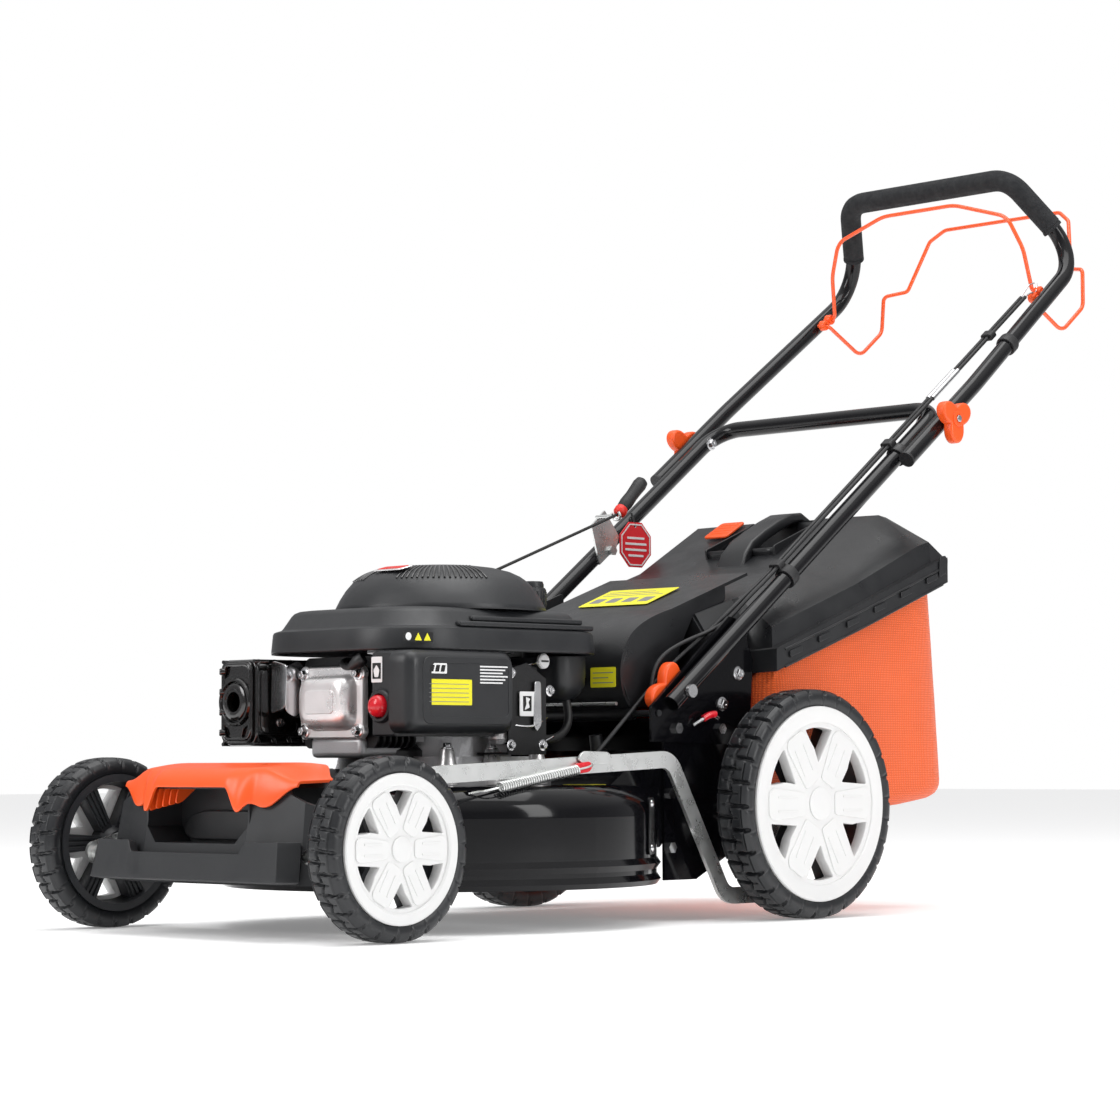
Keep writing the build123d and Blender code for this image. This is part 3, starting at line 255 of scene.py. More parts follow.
def evaluated(obj):
    """The mesh that a curve or a modified mesh comes to."""
    bpy.context.view_layer.update()
    return bpy.data.meshes.new_from_object(obj.evaluated_get(bpy.context.evaluated_depsgraph_get()))


def meshed(name, curve, sharp=None, place=Matrix()):
    """An object with the mesh of a curve, which is then removed."""
    path = new_object(name + "_path", curve)
    mesh = evaluated(path)
    bpy.data.objects.remove(path)
    bpy.data.curves.remove(curve)
    mesh.transform(place)
    mesh.name = name
    smooth(mesh, sharp)
    return new_object(name, mesh)


def add_spline(curve, kind, points):
    spline = curve.splines.new(kind)
    spline.points.add(len(points) - 1)
    for point, place in zip(spline.points, points):
        point.co = (*place, 1)
    return spline


def wire(name, points, radius, cyclic=False):
    """A smooth wire, cable or hose through control points."""
    curve = bpy.data.curves.new(name, "CURVE")
    curve.dimensions = "3D"
    curve.bevel_depth = radius / 1000
    curve.bevel_resolution = 5
    curve.resolution_u = 10
    curve.use_fill_caps = True
    spline = add_spline(curve, "NURBS", points)
    spline.order_u = 3
    spline.use_endpoint_u = not cyclic
    spline.use_cyclic_u = cyclic
    return meshed(name, curve)


def plate(name, outline, origin, u, v, depth, holes=(), bevel=0.6):
    """A flat plate from an outline in millimetres on the plane of u and v, thick along u x v."""
    curve = bpy.data.curves.new(name, "CURVE")
    curve.dimensions = "2D"
    curve.fill_mode = "BOTH"
    edge = min(bevel, depth * 0.45)
    curve.extrude = (depth / 2 - edge) / 1000
    curve.bevel_depth = edge / 1000
    curve.bevel_resolution = 2
    for loop in (outline, *holes):
        add_spline(curve, "POLY", [(x / 1000, y / 1000, 0) for x, y in loop]).use_cyclic_u = True
    u, v = Vector(u).normalized(), Vector(v).normalized()
    n = u.cross(v)
    place = Matrix((u, v, n)).transposed().to_4x4()
    place.translation = origin + n * (depth / 2000)
    return meshed(name, curve, 35.0, place)


def side_plate(name, outline, x, depth, holes=(), bevel=0.6):
    """A plate across the mower at x; outline in millimetres (behind the axle, up)."""
    loops = [[(y + AXLE_Y, z) for y, z in loop] for loop in (outline, *holes)]
    return plate(name, loops[0], Vector((x / 1000, 0, 0)), Y, Z, depth, loops[1:], bevel)


def quads(count, rings, closed=True, joined=False, flip=False):
    """Faces between rings of count points; closed rings wrap, and the last may be joined to the first."""
    faces = []
    for r in range(rings if joined else rings - 1):
        a, b = r * count, (r + 1) % rings * count
        for i in range(count if closed else count - 1):
            j = (i + 1) % count
            faces.append((a + i, b + i, b + j, a + j) if flip else (a + i, a + j, b + j, b + i))
    return faces


def lathe(name, profile, origin, axis, segments=64, sharp=35.0, closed=False):
    """Turn a (radius, height) profile in millimetres about an axis; a ring's section is closed."""
    u, v, w = basis(Vector(axis))
    count = len(profile)
    verts = []
    for s in range(segments):
        out = around(u, v, 2 * math.pi * s / segments)
        verts += [origin + out * (r / 1000) + w * (h / 1000) for r, h in profile]
    faces = quads(count, segments, closed, joined=True, flip=True)
    if not closed and profile[0][0] > 0.01:
        faces.append([s * count for s in reversed(range(segments))])
    if not closed and profile[-1][0] > 0.01:
        faces.append([s * count + count - 1 for s in range(segments)])
    return mesh_object(name, verts, faces, sharp)


def ring_lathe(name, section, origin, axis, segments):
    return lathe(name, section, origin, axis, segments, closed=True)


def loft(name, rings, sharp=35.0, caps=(True, True), closed=True):
    count = len(rings[0])
    faces = quads(count, len(rings), closed)
    if caps[0]:
        faces.append(list(reversed(range(count))))
    if caps[1]:
        faces.append([(len(rings) - 1) * count + i for i in range(count)])
    return mesh_object(name, [p for ring in rings for p in ring], faces, sharp)


def skin(name, shape, across, down, sharp=50):
    """An open sheet: shape(s, t) with s from -1 to 1 across and t from 0 to 1 down."""
    rings = [[shape(2 * i / across - 1, j / down) for i in range(across + 1)] for j in range(down + 1)]
    return loft(name, rings, sharp, (False, False), closed=False)


def thicken(obj, thickness, offset=-1):
    shell = obj.modifiers.new("thickness", "SOLIDIFY")
    shell.thickness = thickness
    shell.offset = offset
    shell.use_even_offset = True
    return obj


def block(name, low, high, radius):
    """A moulded block between two corners, with rounded edges."""
    (x0, y0, z0), (x1, y1, z1) = low, high
    obj = loft(name, [[at(x, y, z) for x, y in rect(x0, y0, x1, y1)] for z in (z0, z1)])
    edge = obj.modifiers.new("round", "BEVEL")
    edge.width = radius / 1000
    edge.segments = 3
    return obj


# ---- finishing ------------------------------------------------------------------------------
def done(obj, mat, body, slot, *stands_for, bevel=0.0):
    """Give a finished piece its material and its body, and hide the nodes it stands for; the slot argument
    is not used.
    """
    obj.data.materials.clear()
    obj.data.materials.append(mat)
    if bevel:
        edge = obj.modifiers.new("edge", "BEVEL")
        edge.width = bevel
        edge.segments = 3
        edge.limit_method = "ANGLE"
        edge.angle_limit = math.radians(35)
    if body:
        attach(obj, body)
    if stands_for:
        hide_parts(*stands_for)
    return obj


def fixed(obj, mat, slot, *stands_for, bevel=0.0):
    """A finished piece of the chassis."""
    return done(obj, mat, "chassis", slot, *stands_for, bevel=bevel)


def dress(mat, *names):
    for name in names:
        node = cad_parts[name]
        node.data.materials.clear()
        node.data.materials.append(mat)


def bolt(name, origin, axis, across, height, body="chassis"):
    """A flanged hexagon head with a chamfered top, on its washer."""
    r = across / 2
    head = lathe(name, [(r * 1.45, 0), (r * 1.45, height * 0.12), (r * 1.1, height * 0.2),
                        (r * 1.1, height * 0.25)], origin, axis, 32)
    done(head, bright_steel, body, "steel")
    top = lathe(name + "_hex", [(r, height * 0.2), (r, height * 0.86), (r * 0.86, height),
                                (r * 0.3, height), (r * 0.25, height * 0.94)], origin, axis, 6)
    done(top, bright_steel, body, "steel", bevel=0.0003)


# ---- wheels ---------------------------------------------------------------------------------
def lug_height(turn, t):
    """Tread relief from 0 in a groove to 1 on a block; turn counts lugs, t runs -1 to 1 across."""
    zigzag = 0.13 * (abs((turn * 2) % 2 - 1) * 2 - 1)
    half = 0.5 if t > zigzag else 0.0
    phase = (turn + half + 0.08 * t) % 1.0
    centre = smoothstep(0.035, 0.09, abs(t - zigzag))
    gap = smoothstep(0.05, 0.1, min(phase, 1 - phase))
    sipe = 1 - 0.4 * (1 - smoothstep(0.015, 0.05, abs(phase - 0.5))) * (1 - smoothstep(0.5, 0.6, abs(t)))
    rim_cut = 1 - 0.55 * (1 - smoothstep(0.02, 0.05, abs(abs(t) - 0.74)))
    return centre * gap * sipe * rim_cut


def tyre(corner, hand, axle_y, radius, rim, x_in, x_out, lugs):
    tread = 30
    rows = [(x_in + 5, rim - 3, None), (x_in + 1.5, rim + 2, None),
            (x_in + 0.2, rim + 0.4 * (radius - rim), 0.5), (x_in + 0.8, radius - 8, 1.0)]
    rows += [(x_in + 2 + (x_out - x_in - 4) * i / tread, None, 2 * i / tread - 1) for i in range(tread + 1)]
    rows += [(x_out - 0.8, radius - 8, 1.0), (x_out - 0.2, rim + 0.4 * (radius - rim), 0.5),
             (x_out - 1.5, rim + 2, None), (x_out - 5, rim - 3, None)]
    steps = lugs * 22
    depth = 0.042 * radius
    middle = (x_in + x_out) / 2
    verts = []
    for s in range(steps):
        turn = s * lugs / steps
        angle = 2 * math.pi * s / steps
        for x, r, t in rows:
            if r is None:
                r = radius - 1.2 * t * t - 3.2 * smoothstep(0.8, 1.0, abs(t))
                r -= depth * (1 - lug_height(turn, t)) * (1 - 0.3 * smoothstep(0.9, 1.0, abs(t)))
            elif t:
                edge = 1 if x > middle else -1
                x -= edge * 1.6 * t * (1 - smoothstep(0.03, 0.09, abs((turn + 0.25) % 1 - 0.5)))
            verts.append(at(hand * x, axle_y + r * math.sin(angle), radius + r * math.cos(angle)))
    faces = quads(len(rows), steps, joined=True, flip=True)
    obj = mesh_object("tread_" + corner, verts, faces if hand > 0 else [face[::-1] for face in faces], 60)
    done(obj, tyre_rubber, "wheel_" + corner, "tyre_rubber", "tyre_" + corner)


def opening(rim, middle):
    """One rounded three-sided opening, its point towards the hub, with a jog in one flank."""
    inner, outer = 0.40 * rim, 0.79 * rim
    half = math.radians(16.5)
    corner = [polar(outer, middle + half * (step / 3 - 1)) for step in range(7)]
    flank = inner + 0.55 * (outer - inner)
    corner += [polar(flank, middle + half * 0.66), polar(flank * 0.93, middle + half * 0.5),
               polar(inner, middle + half * 0.1)]
    return rounded(corner, [5, 0.5, 0.5, 0.5, 0.5, 0.5, 5, 3, 3, 5], 4)


def wheel(corner, hand, axle_y, radius, rim, x_in, x_out):
    """A white face with six openings and raised spokes over a black inner wheel with ribbed webs."""
    body = "wheel_" + corner
    hub = at(hand * x_in, axle_y, radius)
    axis, u, v = X * hand, Y * hand, Z
    width = x_out - x_in
    scale = rim / 119.1

    def white(obj, *stands_for):
        done(obj, wheel_white, body, "wheel_white", *stands_for)

    def black(obj):
        done(obj, wheel_black, body, "wheel_white")

    white(ring_lathe("rim_" + corner, [
        (rim - 1.5, width - 13), (rim - 0.2, width - 9), (rim - 0.2, width - 1.6), (rim - 1.6, width - 0.2),
        (rim * 0.86, width - 0.2), (rim * 0.835, width - 1.8), (rim * 0.825, width - 5),
        (rim * 0.82, width - 20), (rim * 0.85, width - 20), (rim * 0.87, width - 13),
    ], hub, axis, 128), body)
    sixths = [math.radians(90) + math.radians(60) * k for k in range(6)]
    white(plate("trim_" + corner, circle(rim * 0.835, 96), hub + axis * ((width - 19) / 1000), u, v, 15.5,
                [opening(rim, angle) for angle in sixths], 1.2))
    spokes = []
    for angle in sixths:
        angle += math.radians(30)
        spokes.append((around(u, v, angle), v * math.cos(angle) - u * math.sin(angle)))
    for k, (du, dv) in enumerate(spokes):
        raised = mirrored([(rim * 0.24, -13 * scale), (rim * 0.72, -19 * scale), (rim * 0.79, -14 * scale)])
        white(plate(f"spoke_{corner}_{k}", rounded(raised, 4), hub + axis * ((width - 4.2) / 1000), du, dv,
                    2.4, bevel=1.0))
        for side, shift in (("a", -8.5 * scale), ("b", 8.5 * scale)):
            line = rect(rim * 0.36, shift - 0.7, rim * 0.66, shift + 0.7)
            white(plate(f"groove_{corner}_{k}_{side}", line, hub + axis * ((width - 2.0) / 1000), du, dv,
                        1.0, bevel=0.4))
    white(lathe("hub_cap_" + corner, [
        (20 * scale, width - 4), (20 * scale, width - 1.6), (17 * scale, width - 0.6),
        (8 * scale, width - 0.5), (0, width - 0.8),
    ], hub, axis, 48))
    black(ring_lathe("barrel_" + corner, [
        (rim - 1, 0.5), (rim - 1, width - 14), (rim * 0.87, width - 14), (rim * 0.87, width - 20),
        (rim * 0.83, width - 20), (rim * 0.88, 6), (rim * 0.88, 0.5),
    ], hub, axis, 96))
    for k, (du, dv) in enumerate(spokes):
        web = mirrored([(rim * 0.15, -9 * scale), (rim * 0.88, -15 * scale)])
        black(plate(f"web_{corner}_{k}", web, hub + axis * 0.010, du, dv, width - 30, bevel=1.2))
        for shift in (-7, 0, 7):
            near, far, low, high = rim * 0.3, rim * 0.86, shift * scale, shift * scale * 1.3
            ridge = [(near, low - 1.1), (far, high - 1.1), (far, high + 1.1), (near, low + 1.1)]
            black(plate(f"rib_{corner}_{k}_{shift + 7}", ridge, hub + axis * 0.0075, du, dv, 3.5,
                        bevel=0.6))
    cone = [(11, 0.4), (14, 0.4), (19 * scale, 4), (30 * scale, 13), (30 * scale, width - 18)]
    black(lathe("hub_" + corner, cone, hub, axis, 48))


WHEEL_IN = 224.5               # inner face of every wheel
for end, axle_y, radius, rim, x_out, lugs in (
    ("front", 0, 100, 81.3, 271.7, 26), ("rear", WHEELBASE, 140, 119.1, 277.4, 30),
):
    for side, hand in (("left", 1), ("right", -1)):
        corner, axle = f"{end}_{side}", end + "_axle"
        tyre(corner, hand, axle_y, radius, rim, WHEEL_IN, x_out - 1.5, lugs)
        wheel(corner, hand, axle_y, radius, rim, WHEEL_IN, x_out)
        bolt("spindle_bolt_" + corner, at(hand * 206.5, axle_y, radius), X * -hand, 17, 8, axle)
        washer = ring_lathe("spindle_washer_" + corner, [(6.5, 0), (12, 0), (12, 1.6), (6.5, 1.6)],
                            at(hand * 221.5, axle_y, radius), X * hand, 40)
        done(washer, bright_steel, axle, "steel")

dress(galvanised, "front_axle", "rear_axle", "link_bar", "rope_guide")
dress(deck_paint, "deck", "side_plates", "handle_brackets")
dress(tube_paint, "lower_handle", "upper_handle")
dress(orange_coat, "brake_bail", "drive_bail")
dress(trim_plastic, "front_trim")
dress(bright_steel, "bolts", "crankshaft")
dress(spun_steel, "blade", "drive_pulley")
dress(cast_alloy, "flywheel", "crankcase", "carburettor", "gearbox")
dress(cast_black, "cylinder_block", "control_plate")
dress(muffler_enamel, "muffler")
dress(shroud_plastic, "wash_port")
dress(black_rubber, "drive_belt")


# ---- front grip and trim --------------------------------------------------------------------
def grip_point(s, t):
    """Skin of the grip: s runs -1 to 1 across, t from 0 at the rear top edge to 1 at the lower lip."""
    x = 152 * s
    a = abs(x)
    wing = smoothstep(96, 152, a)
    rear = (40 - 30 * wing, 190.5 - 16 * wing)
    crest = (-46 + 6 * wing, 188 - 15 * wing)
    low = (139 + 27 * (1 - smoothstep(60, 80, a)) + 9 * smoothstep(82, 93, a) - 4 * smoothstep(93, 110, a)
           + 22 * smoothstep(112, 152, a))
    wall = -79 + 18 * max(0.0, a - 90) / 78 + (low - 60) * 0.176
    front = -73 + (wall + 73) * smoothstep(80, 98, a)
    if t < 0.5:
        k = t / 0.5
        y = rear[0] + (crest[0] - rear[0]) * k
        z = rear[1] + (crest[1] - rear[1]) * k + 3.5 * math.sin(k * math.pi) * (1 - wing)
    else:
        k = (t - 0.5) / 0.5
        y = crest[0] + (front - crest[0]) * math.sin(k * math.pi / 2)
        z = crest[1] + (low - crest[1]) * (1 - math.cos(k * math.pi / 2))
    return at(x, y, z)


grip = thicken(skin("front_handle", grip_point, 96, 26), 0.0035, 1)
fixed(grip, orange_plastic, "orange_plastic", "front_grip", bevel=0.001)
for k in range(5):
    fin = [(-68 + 3 * k, 139 + 2 * k), (-64 + 3 * k, 164), (-30, 176), (-20, 170), (-36, 158),
           (-58 + 3 * k, 142 + 2 * k)]
    fixed(side_plate(f"grip_rib_{k}", rounded(fin, 5), -80 + 8 * k, 2.4), orange_plastic, "orange_plastic")

TRIM_TAPER = math.tan(math.radians(10))


def band_point(s, t):
    """The stepped lower band of the trim, standing just proud of its tapering wall."""
    x = 166 * s
    a = abs(x)
    y = -74 if a < 158 else -74 + 2.2 * (a - 158)
    top = 92 + 13 * smoothstep(96, 108, a)
    z = 62 + (top - 62) * t
    return at(x * (1 - 0.00085 * (z - 60)), y + (z - 60) * TRIM_TAPER - 2.2, z)


band = thicken(skin("trim_band", band_point, 160, 6, 30), 0.011, 1)
fixed(band, trim_plastic, "trim_black", bevel=0.0008)
recess = [(-72, 112), (-60, 108), (60, 108), (72, 112), (76, 118), (66, 132), (40, 138), (-40, 138),
          (-66, 132), (-76, 118)]
fixed(plate("pocket_lens", rounded(recess, 8), at(0, -18, 0), X, Z, 2.2, bevel=1.0), trim_plastic,
      "trim_black")
fixed(block("grip_tail", (-60, 44, 168), (96, 62, 186), 5), trim_plastic, "trim_black")

# ---- deck details ---------------------------------------------------------------------------
strap_angle = math.atan2(431 - CRANK_Y, 226)
strap_dir = around(X, Y, strap_angle)
strap_side = Vector((-strap_dir.y, strap_dir.x, 0))
strap_at = at(0, CRANK_Y, 0) + strap_dir * 0.2585
fixed(plate("deck_strap", rect(-11, 84, 11, 150, 5), strap_at, strap_side, Z, 2.0), deck_paint,
      "deck_black")
for z in (91, 143):
    rivet = lathe(f"deck_rivet_{z}", [(4.5, 1.5), (4.2, 3), (2.5, 4.2), (0, 4.6)],
                  strap_at + Z * (z / 1000), strap_dir, 24)
    fixed(rivet, bright_steel, "steel")
bolt("bracket_bolt", at(186.8, 604, 262), X, 12, 6)
bolt("bracket_bolt_low", at(186.8, 634, 300), X, 12, 6)
fixed(wire("flap_spring_rod", [at(x, 466, 262) for x in (-140, -60, 20, 140)], 2.2), galvanised,
      "galvanised")
sticker = plate("deck_sticker", rect(-24, -13, 24, 13, 2), at(150, 400, 165.2), X, Y, 0.35, bevel=0.1)
fixed(sticker, sticker_yellow, "deck_black")
for k, x in enumerate((138, 158)):
    triangle = rounded([(-7, -6), (7, -6), (0, 6)], 1.2)
    warn = plate(f"deck_sticker_mark_{k}", triangle, at(x, 400, 165.55), X, Y, 0.25, bevel=0.05)
    fixed(warn, sticker_black, "deck_black")

# the coil spring between the deck and the link bar, and its hooks
SPRING_TURNS, TURN_STEPS = 34, 12
spring_a, spring_b = through((221, 192, 164), (221, 316, 183))
spring_u, spring_v = basis(spring_b - spring_a)[:2]
coil = [spring_a.lerp(spring_b, i / (SPRING_TURNS * TURN_STEPS))
        + around(spring_u, spring_v,
                 2 * math.pi * i / TURN_STEPS) * 0.0052 for i in range(SPRING_TURNS * TURN_STEPS + 1)]
fixed(wire("spring_coil", coil, 1.25), galvanised, "galvanised", "lift_spring")
hook_front = through((221, 196, 164.5), (221, 188, 163), (215, 176, 160), (206, 170, 159), (200, 164, 157))
hook_rear = through((221, 312, 182.5), (221, 326, 184.5), (221, 338, 187), (217, 346, 190), (211, 345, 190))
fixed(wire("spring_hook_front", hook_front, 1.25), galvanised, "galvanised")
fixed(wire("spring_hook_rear", hook_rear, 1.25), galvanised, "galvanised")
lever = [(322, 196), (330, 204), (372, 203), (378, 196), (370, 190), (330, 190)]
fixed(side_plate("height_lever", rounded(lever, 5), 214.5, 3), galvanised, "galvanised")
lever_tip = [(316, 183), (320, 190), (340, 192), (343, 186), (338, 181), (321, 179)]
fixed(side_plate("height_lever_grip", rounded(lever_tip, 3), 214, 5), red_rubber, "red_rubber")

# ---- engine: shroud and starter cover -------------------------------------------------------
SHROUD_FRONT, SHROUD_REAR, SHROUD_HALF = 118.0, 448.0, 145.0


def shroud_ring(z, inset, steps=10):
    """One level of the blower shroud: wide round corners in front, smaller ones behind."""
    half, front, rear = SHROUD_HALF - inset, SHROUD_FRONT + inset, SHROUD_REAR - inset
    corners = [(half, front, 88 - inset, -90), (half, rear, 40 - inset * 0.6, 0),
               (-half, rear, 40 - inset * 0.6, 90), (-half, front, 88 - inset, 180)]
    ring = []
    for x, y, r, start in corners:
        cx, cy = x - math.copysign(r, x), y + (r if y == front else -r)
        for k in range(steps + 1):
            angle = math.radians(start + 90 * k / steps)
            ring.append(at(cx + r * math.cos(angle), cy + r * math.sin(angle), z))
    return ring

levels = [(320.0, 0.3), (323, 0.0), (343, 2.0), (345.5, 3.2), (347, 6.5), (348.5, 12), (350.5, 14.0),
          (365, 24), (368.5, 27.5), (370.8, 33), (371.8, 42)]
shell = thicken(loft("shroud_shell", [shroud_ring(z, i) for z, i in levels], 28, (False, True)), 0.0026)
fixed(shell, shroud_plastic, "engine_black", "blower_shroud")
for k, (y0, y1, z) in enumerate(((210, 430, 352), (236, 418, 359))):
    ledge = block(f"shroud_ledge_{k}", (128 - 6 * k, y0, z - 4), (138.5 - 7 * k, y1, z + 2.5), 2.4)
    fixed(ledge, shroud_plastic, "engine_black")
dome_profile = [(126.5, 371), (127, 374), (125, 378), (121, 386), (114, 397), (105, 407.5), (96, 414),
                (84, 419.5), (66, 424), (44, 426.8), (20, 427.8), (0, 428)]
dome = lathe("starter_dome", dome_profile, at(0, CRANK_Y, 0), Z, 128, 40)
fixed(dome, shroud_plastic, "dome_black", "recoil_cover")
for k in range(46):
    if 0.44 < k / 45 < 0.62:
        continue
    out = around(X, Y, math.radians(188 + 160 * k / 45))
    points = [at(0, CRANK_Y, z) + out * (r / 1000) for r,
              z in ((66, 424.2), (84, 420.0), (97, 413.8), (105, 408))]
    fixed(wire(f"grille_bar_{k}", points, 1.3), muffler_enamel, "dome_black")
BADGE_RUN = Vector((0, 0.96, 0.28))
for name, outline, z, depth, bevel, mat in (
    ("dome_badge", rounded([(-26, -9), (22, -9), (26, 9), (-22, 9)], 3), 420.5, 1.6, 0.6, cover_alloy),
    ("dome_badge_panel", rounded([(-22, -6), (18, -6), (22, 6), (-18, 6)], 2), 422.2, 0.5, 0.2, red_paint),
):
    fixed(plate(name, outline, at(8, CRANK_Y - 84, z), X, BADGE_RUN, depth, bevel=bevel), mat, "dome_black")

# the generic warning strip on the shroud's side: a disc and two triangles
strip = side_plate("shroud_strip", rect(116, 328.5, 162, 339.5, 1), 143.6, 0.5, bevel=0.1)
fixed(strip, sticker_black, "engine_black")
disc = side_plate("shroud_strip_disc", circle(4.4, 24, (124, 334)), 144.1, 0.3, bevel=0.05)
fixed(disc, sticker_white, "engine_black")
for k, y in enumerate((139, 153)):
    triangle = rounded([(y - 5.4, 329.8), (y + 5.4, 329.8), (y, 338.6)], 1)
    fixed(side_plate(f"shroud_strip_mark_{k}", triangle, 144.1, 0.3, bevel=0.05), sticker_yellow,
          "engine_black")


def ribbed(body, cap, x, y, count, radius, heights, thick):
    """A turned cap with finger ribs round its edge."""
    done(cap, shroud_plastic, body, "engine_black", body)
    for k in range(count):
        out = around(X, Y, 2 * math.pi * k / count) * (radius / 1000)
        rib = wire(f"{body}_rib_{k}", [at(x, y, z) + out for z in heights], thick)
        done(rib, shroud_plastic, body, "engine_black")


cap = lathe("fuel_cap_body", [(17.2, 380), (18, 381.5), (18, 402), (16.5, 404.5), (15, 405), (15, 409),
                              (13.6, 412.5), (0, 413.4)], at(28, 434, 0), Z, 64)
ribbed("fuel_cap", cap, 28, 434, 18, 17.2, (383, 388, 400), 1.6)
dip_profile = [(3, 252), (3, 300), (13.5, 300), (14.6, 301.5), (14.6, 311), (12, 313.6), (0, 314)]
dip = lathe("dipstick_cap", dip_profile, at(-176, 390, 0), Z, 48)
ribbed("dipstick", dip, -176, 390, 10, 13.8, (302, 306, 310), 1.3)

# ---- engine: front ---------------------------------------------------------------------------
rocker_rings = []
for y, half_x, half_z, corner in (
    (142, 55.5, 41.5, 17), (137, 55.5, 41.5, 17), (134.8, 54, 40, 16), (134.4, 45, 33, 20),
    (127, 43, 31, 20),
    (121, 40.5, 28.5, 19), (117.5, 37, 25, 17), (115.8, 31, 19.5, 14), (115.5, 20, 12, 10),
):
    rocker_rings.append([at(x, y, 262 + z) for x, z in rect(-half_x, -half_z, half_x, half_z, corner, 6)])
fixed(loft("rocker_cover", rocker_rings, 40), cover_alloy, "alloy", "valve_cover")
fixed(plate("rocker_panel", rect(-24, -13, 24, 13, 5), at(0, 115.9, 262), X, Z, 1.2), cover_alloy, "alloy")
for sx in (-1, 1):
    for sz in (-1, 1):
        corner = f"{sx + 1}{sz + 1}"
        x, z = 47 * sx, 262 + 33 * sz
        boss = lathe("rocker_boss_" + corner, [(9.5, 0), (9.5, 6.5), (8, 7.8), (0, 7.8)], at(x, 142, z),
                     -Y, 40)
        fixed(boss, cover_alloy, "alloy")
        bolt("rocker_bolt_" + corner, at(x, 134.2, z), -Y, 11, 7)
fixed(block("cylinder_foot", (-44, 140, 198), (46, 206, 222), 6), cast_alloy, "alloy")
skirt = lathe("cylinder_skirt", [(46, 176), (50, 180), (50, 206), (42, 214)], at(0, 214, 0), Z, 64)
fixed(skirt, cast_black, "alloy")
lead = through((62, 128, 312), (58, 122, 305), (40, 124, 300), (20, 132, 306), (8, 150, 312), (4, 190, 316))
fixed(wire("spark_lead", lead, 3.4), black_rubber, "black_rubber")
boot = lathe("spark_boot", [(7, 0), (8, 2), (8, 9), (6, 16), (4, 20)], at(64, 128, 312),
             Vector((-0.4, -0.2, -0.3)), 32)
fixed(boot, black_rubber, "black_rubber")
shield = rounded([(118, 305), (136, 312), (150, 300), (150, 262), (132, 246), (118, 252)], 5)
fixed(side_plate("heat_shield", shield, -62, 1.2), bright_steel, "steel")
shield_face = rounded([(-86, 250), (-60, 258), (-58, 306), (-84, 312)], 5)
fixed(plate("heat_shield_face", shield_face, at(0, 117, 0), X, Z, 1.2), bright_steel, "steel")


# the muffler's outlet, its cage of rails and rungs, and the flange nuts
def caged(obj, *stands_for):
    fixed(obj, muffler_enamel, "muffler_black", *stands_for)


OUTLET_X, OUTLET_Z = -119, 264
outlet = [(13, 0), (20, 0), (21.5, 3), (21.5, 5.5), (19, 7), (15, 7), (13, 4)]
caged(ring_lathe("muffler_outlet", outlet, at(OUTLET_X, 92.6, OUTLET_Z), -Y, 64))
collar = [(24, 0), (27.5, 0), (28.5, 2), (27, 4), (24.5, 4), (23.4, 2)]
caged(ring_lathe("muffler_outlet_ring", collar, at(OUTLET_X, 90, OUTLET_Z), -Y, 64), "muffler_guard")
gaps = [[(-141, 222), (-128, 222), (-132, 233), (-141, 238)],
        [(-110, 222), (-97, 222), (-97, 238), (-106, 233)],
        [(-141, 306), (-128, 306), (-132, 295), (-141, 290)]]
caged(plate("guard_front", rect(-146, 217, -91, 311, 11, 6), at(0, 92.5, 0), X, Z, 2.6,
            [circle(23, 36, (OUTLET_X, OUTLET_Z))] + [rounded(gap, 2) for gap in gaps], 0.6))
for k, grow in enumerate((0, 4.6)):
    hoop = rect(-143 - grow * 0.4, 220 - grow, -93 + grow, 308 + grow * 0.6, 12, 6)
    caged(wire(f"guard_hoop_{k}", [at(x, 91 + 5.5 * k, z) for x, z in hoop], 2.7, True))
for level, rim, shell in (("low", 214.5, 221.5), ("high", 311.5, 306.5)):
    for k, x in enumerate((-146.0, -89.0)):
        caged(wire(f"guard_rail_{level}_{k}",
                   through((x, 92, rim), (x, 96, rim), (x, 150, rim), (x, 198, rim), (x, 207, shell)), 2.3))
    for k in range(5):
        y = 101 + 24 * k
        rung = through((-89, y - 4, shell), (-89, y, rim), (-92, y + 1, rim), (-117, y + 1, rim),
                       (-143, y + 1, rim), (-146, y, rim), (-146, y - 4, shell))
        caged(wire(f"guard_rung_{level}_{k}", rung, 2.6))
for k in range(5):
    y = 97 + 24 * k
    post = through((-148, y, 216), (-149.5, y, 240), (-149.5, y, 288), (-148, y, 310))
    caged(wire(f"guard_post_{k}", post, 2.4))
stub = [(4.2, 0), (4.2, 5), (3.2, 6.5), (0, 6.5)]
for k in range(4):
    caged(lathe(f"guard_stub_{k}", stub, at(-141, 91, 228 + 24 * k), Vector((-0.6, -0.8, 0)), 32))
caged(plate("muffler_side_panel", rect(104, 228, 158, 300, 9, 6), at(-90.4, 0, 0), Y, Z, 1.6, bevel=0.8))
for k, z in enumerate((258, 240)):
    bolt(f"muffler_nut_{k}", at(-88.5, 132, z), X, 8, 5)

# ---- engine: air filter, primer and controls -----------------------------------------------
filter_rings = []
for x, inset in ((122, 3), (124, 0.3), (146, 0.3), (151, 2.5), (155.6, 6.5), (157.6, 11), (157.9, 16)):
    outline = rect(112 + inset, 224.5 + inset, 282 - inset, 319.5 - inset, 16 - inset * 0.5, 7)
    filter_rings.append([at(x, y, z) for y, z in outline])
fixed(loft("filter_cover", filter_rings, 32), shroud_plastic, "engine_black")
base_rings = []
for z, inset in ((222, 2), (224, 0), (316, 0), (318, 2)):
    base_rings.append([at(x, y, z) for x, y in rect(86.4 + inset, 118.3 + inset, 126, 279.8, 7, 5)])
fixed(loft("filter_base", base_rings, 32), shroud_plastic, "engine_black", "air_filter")


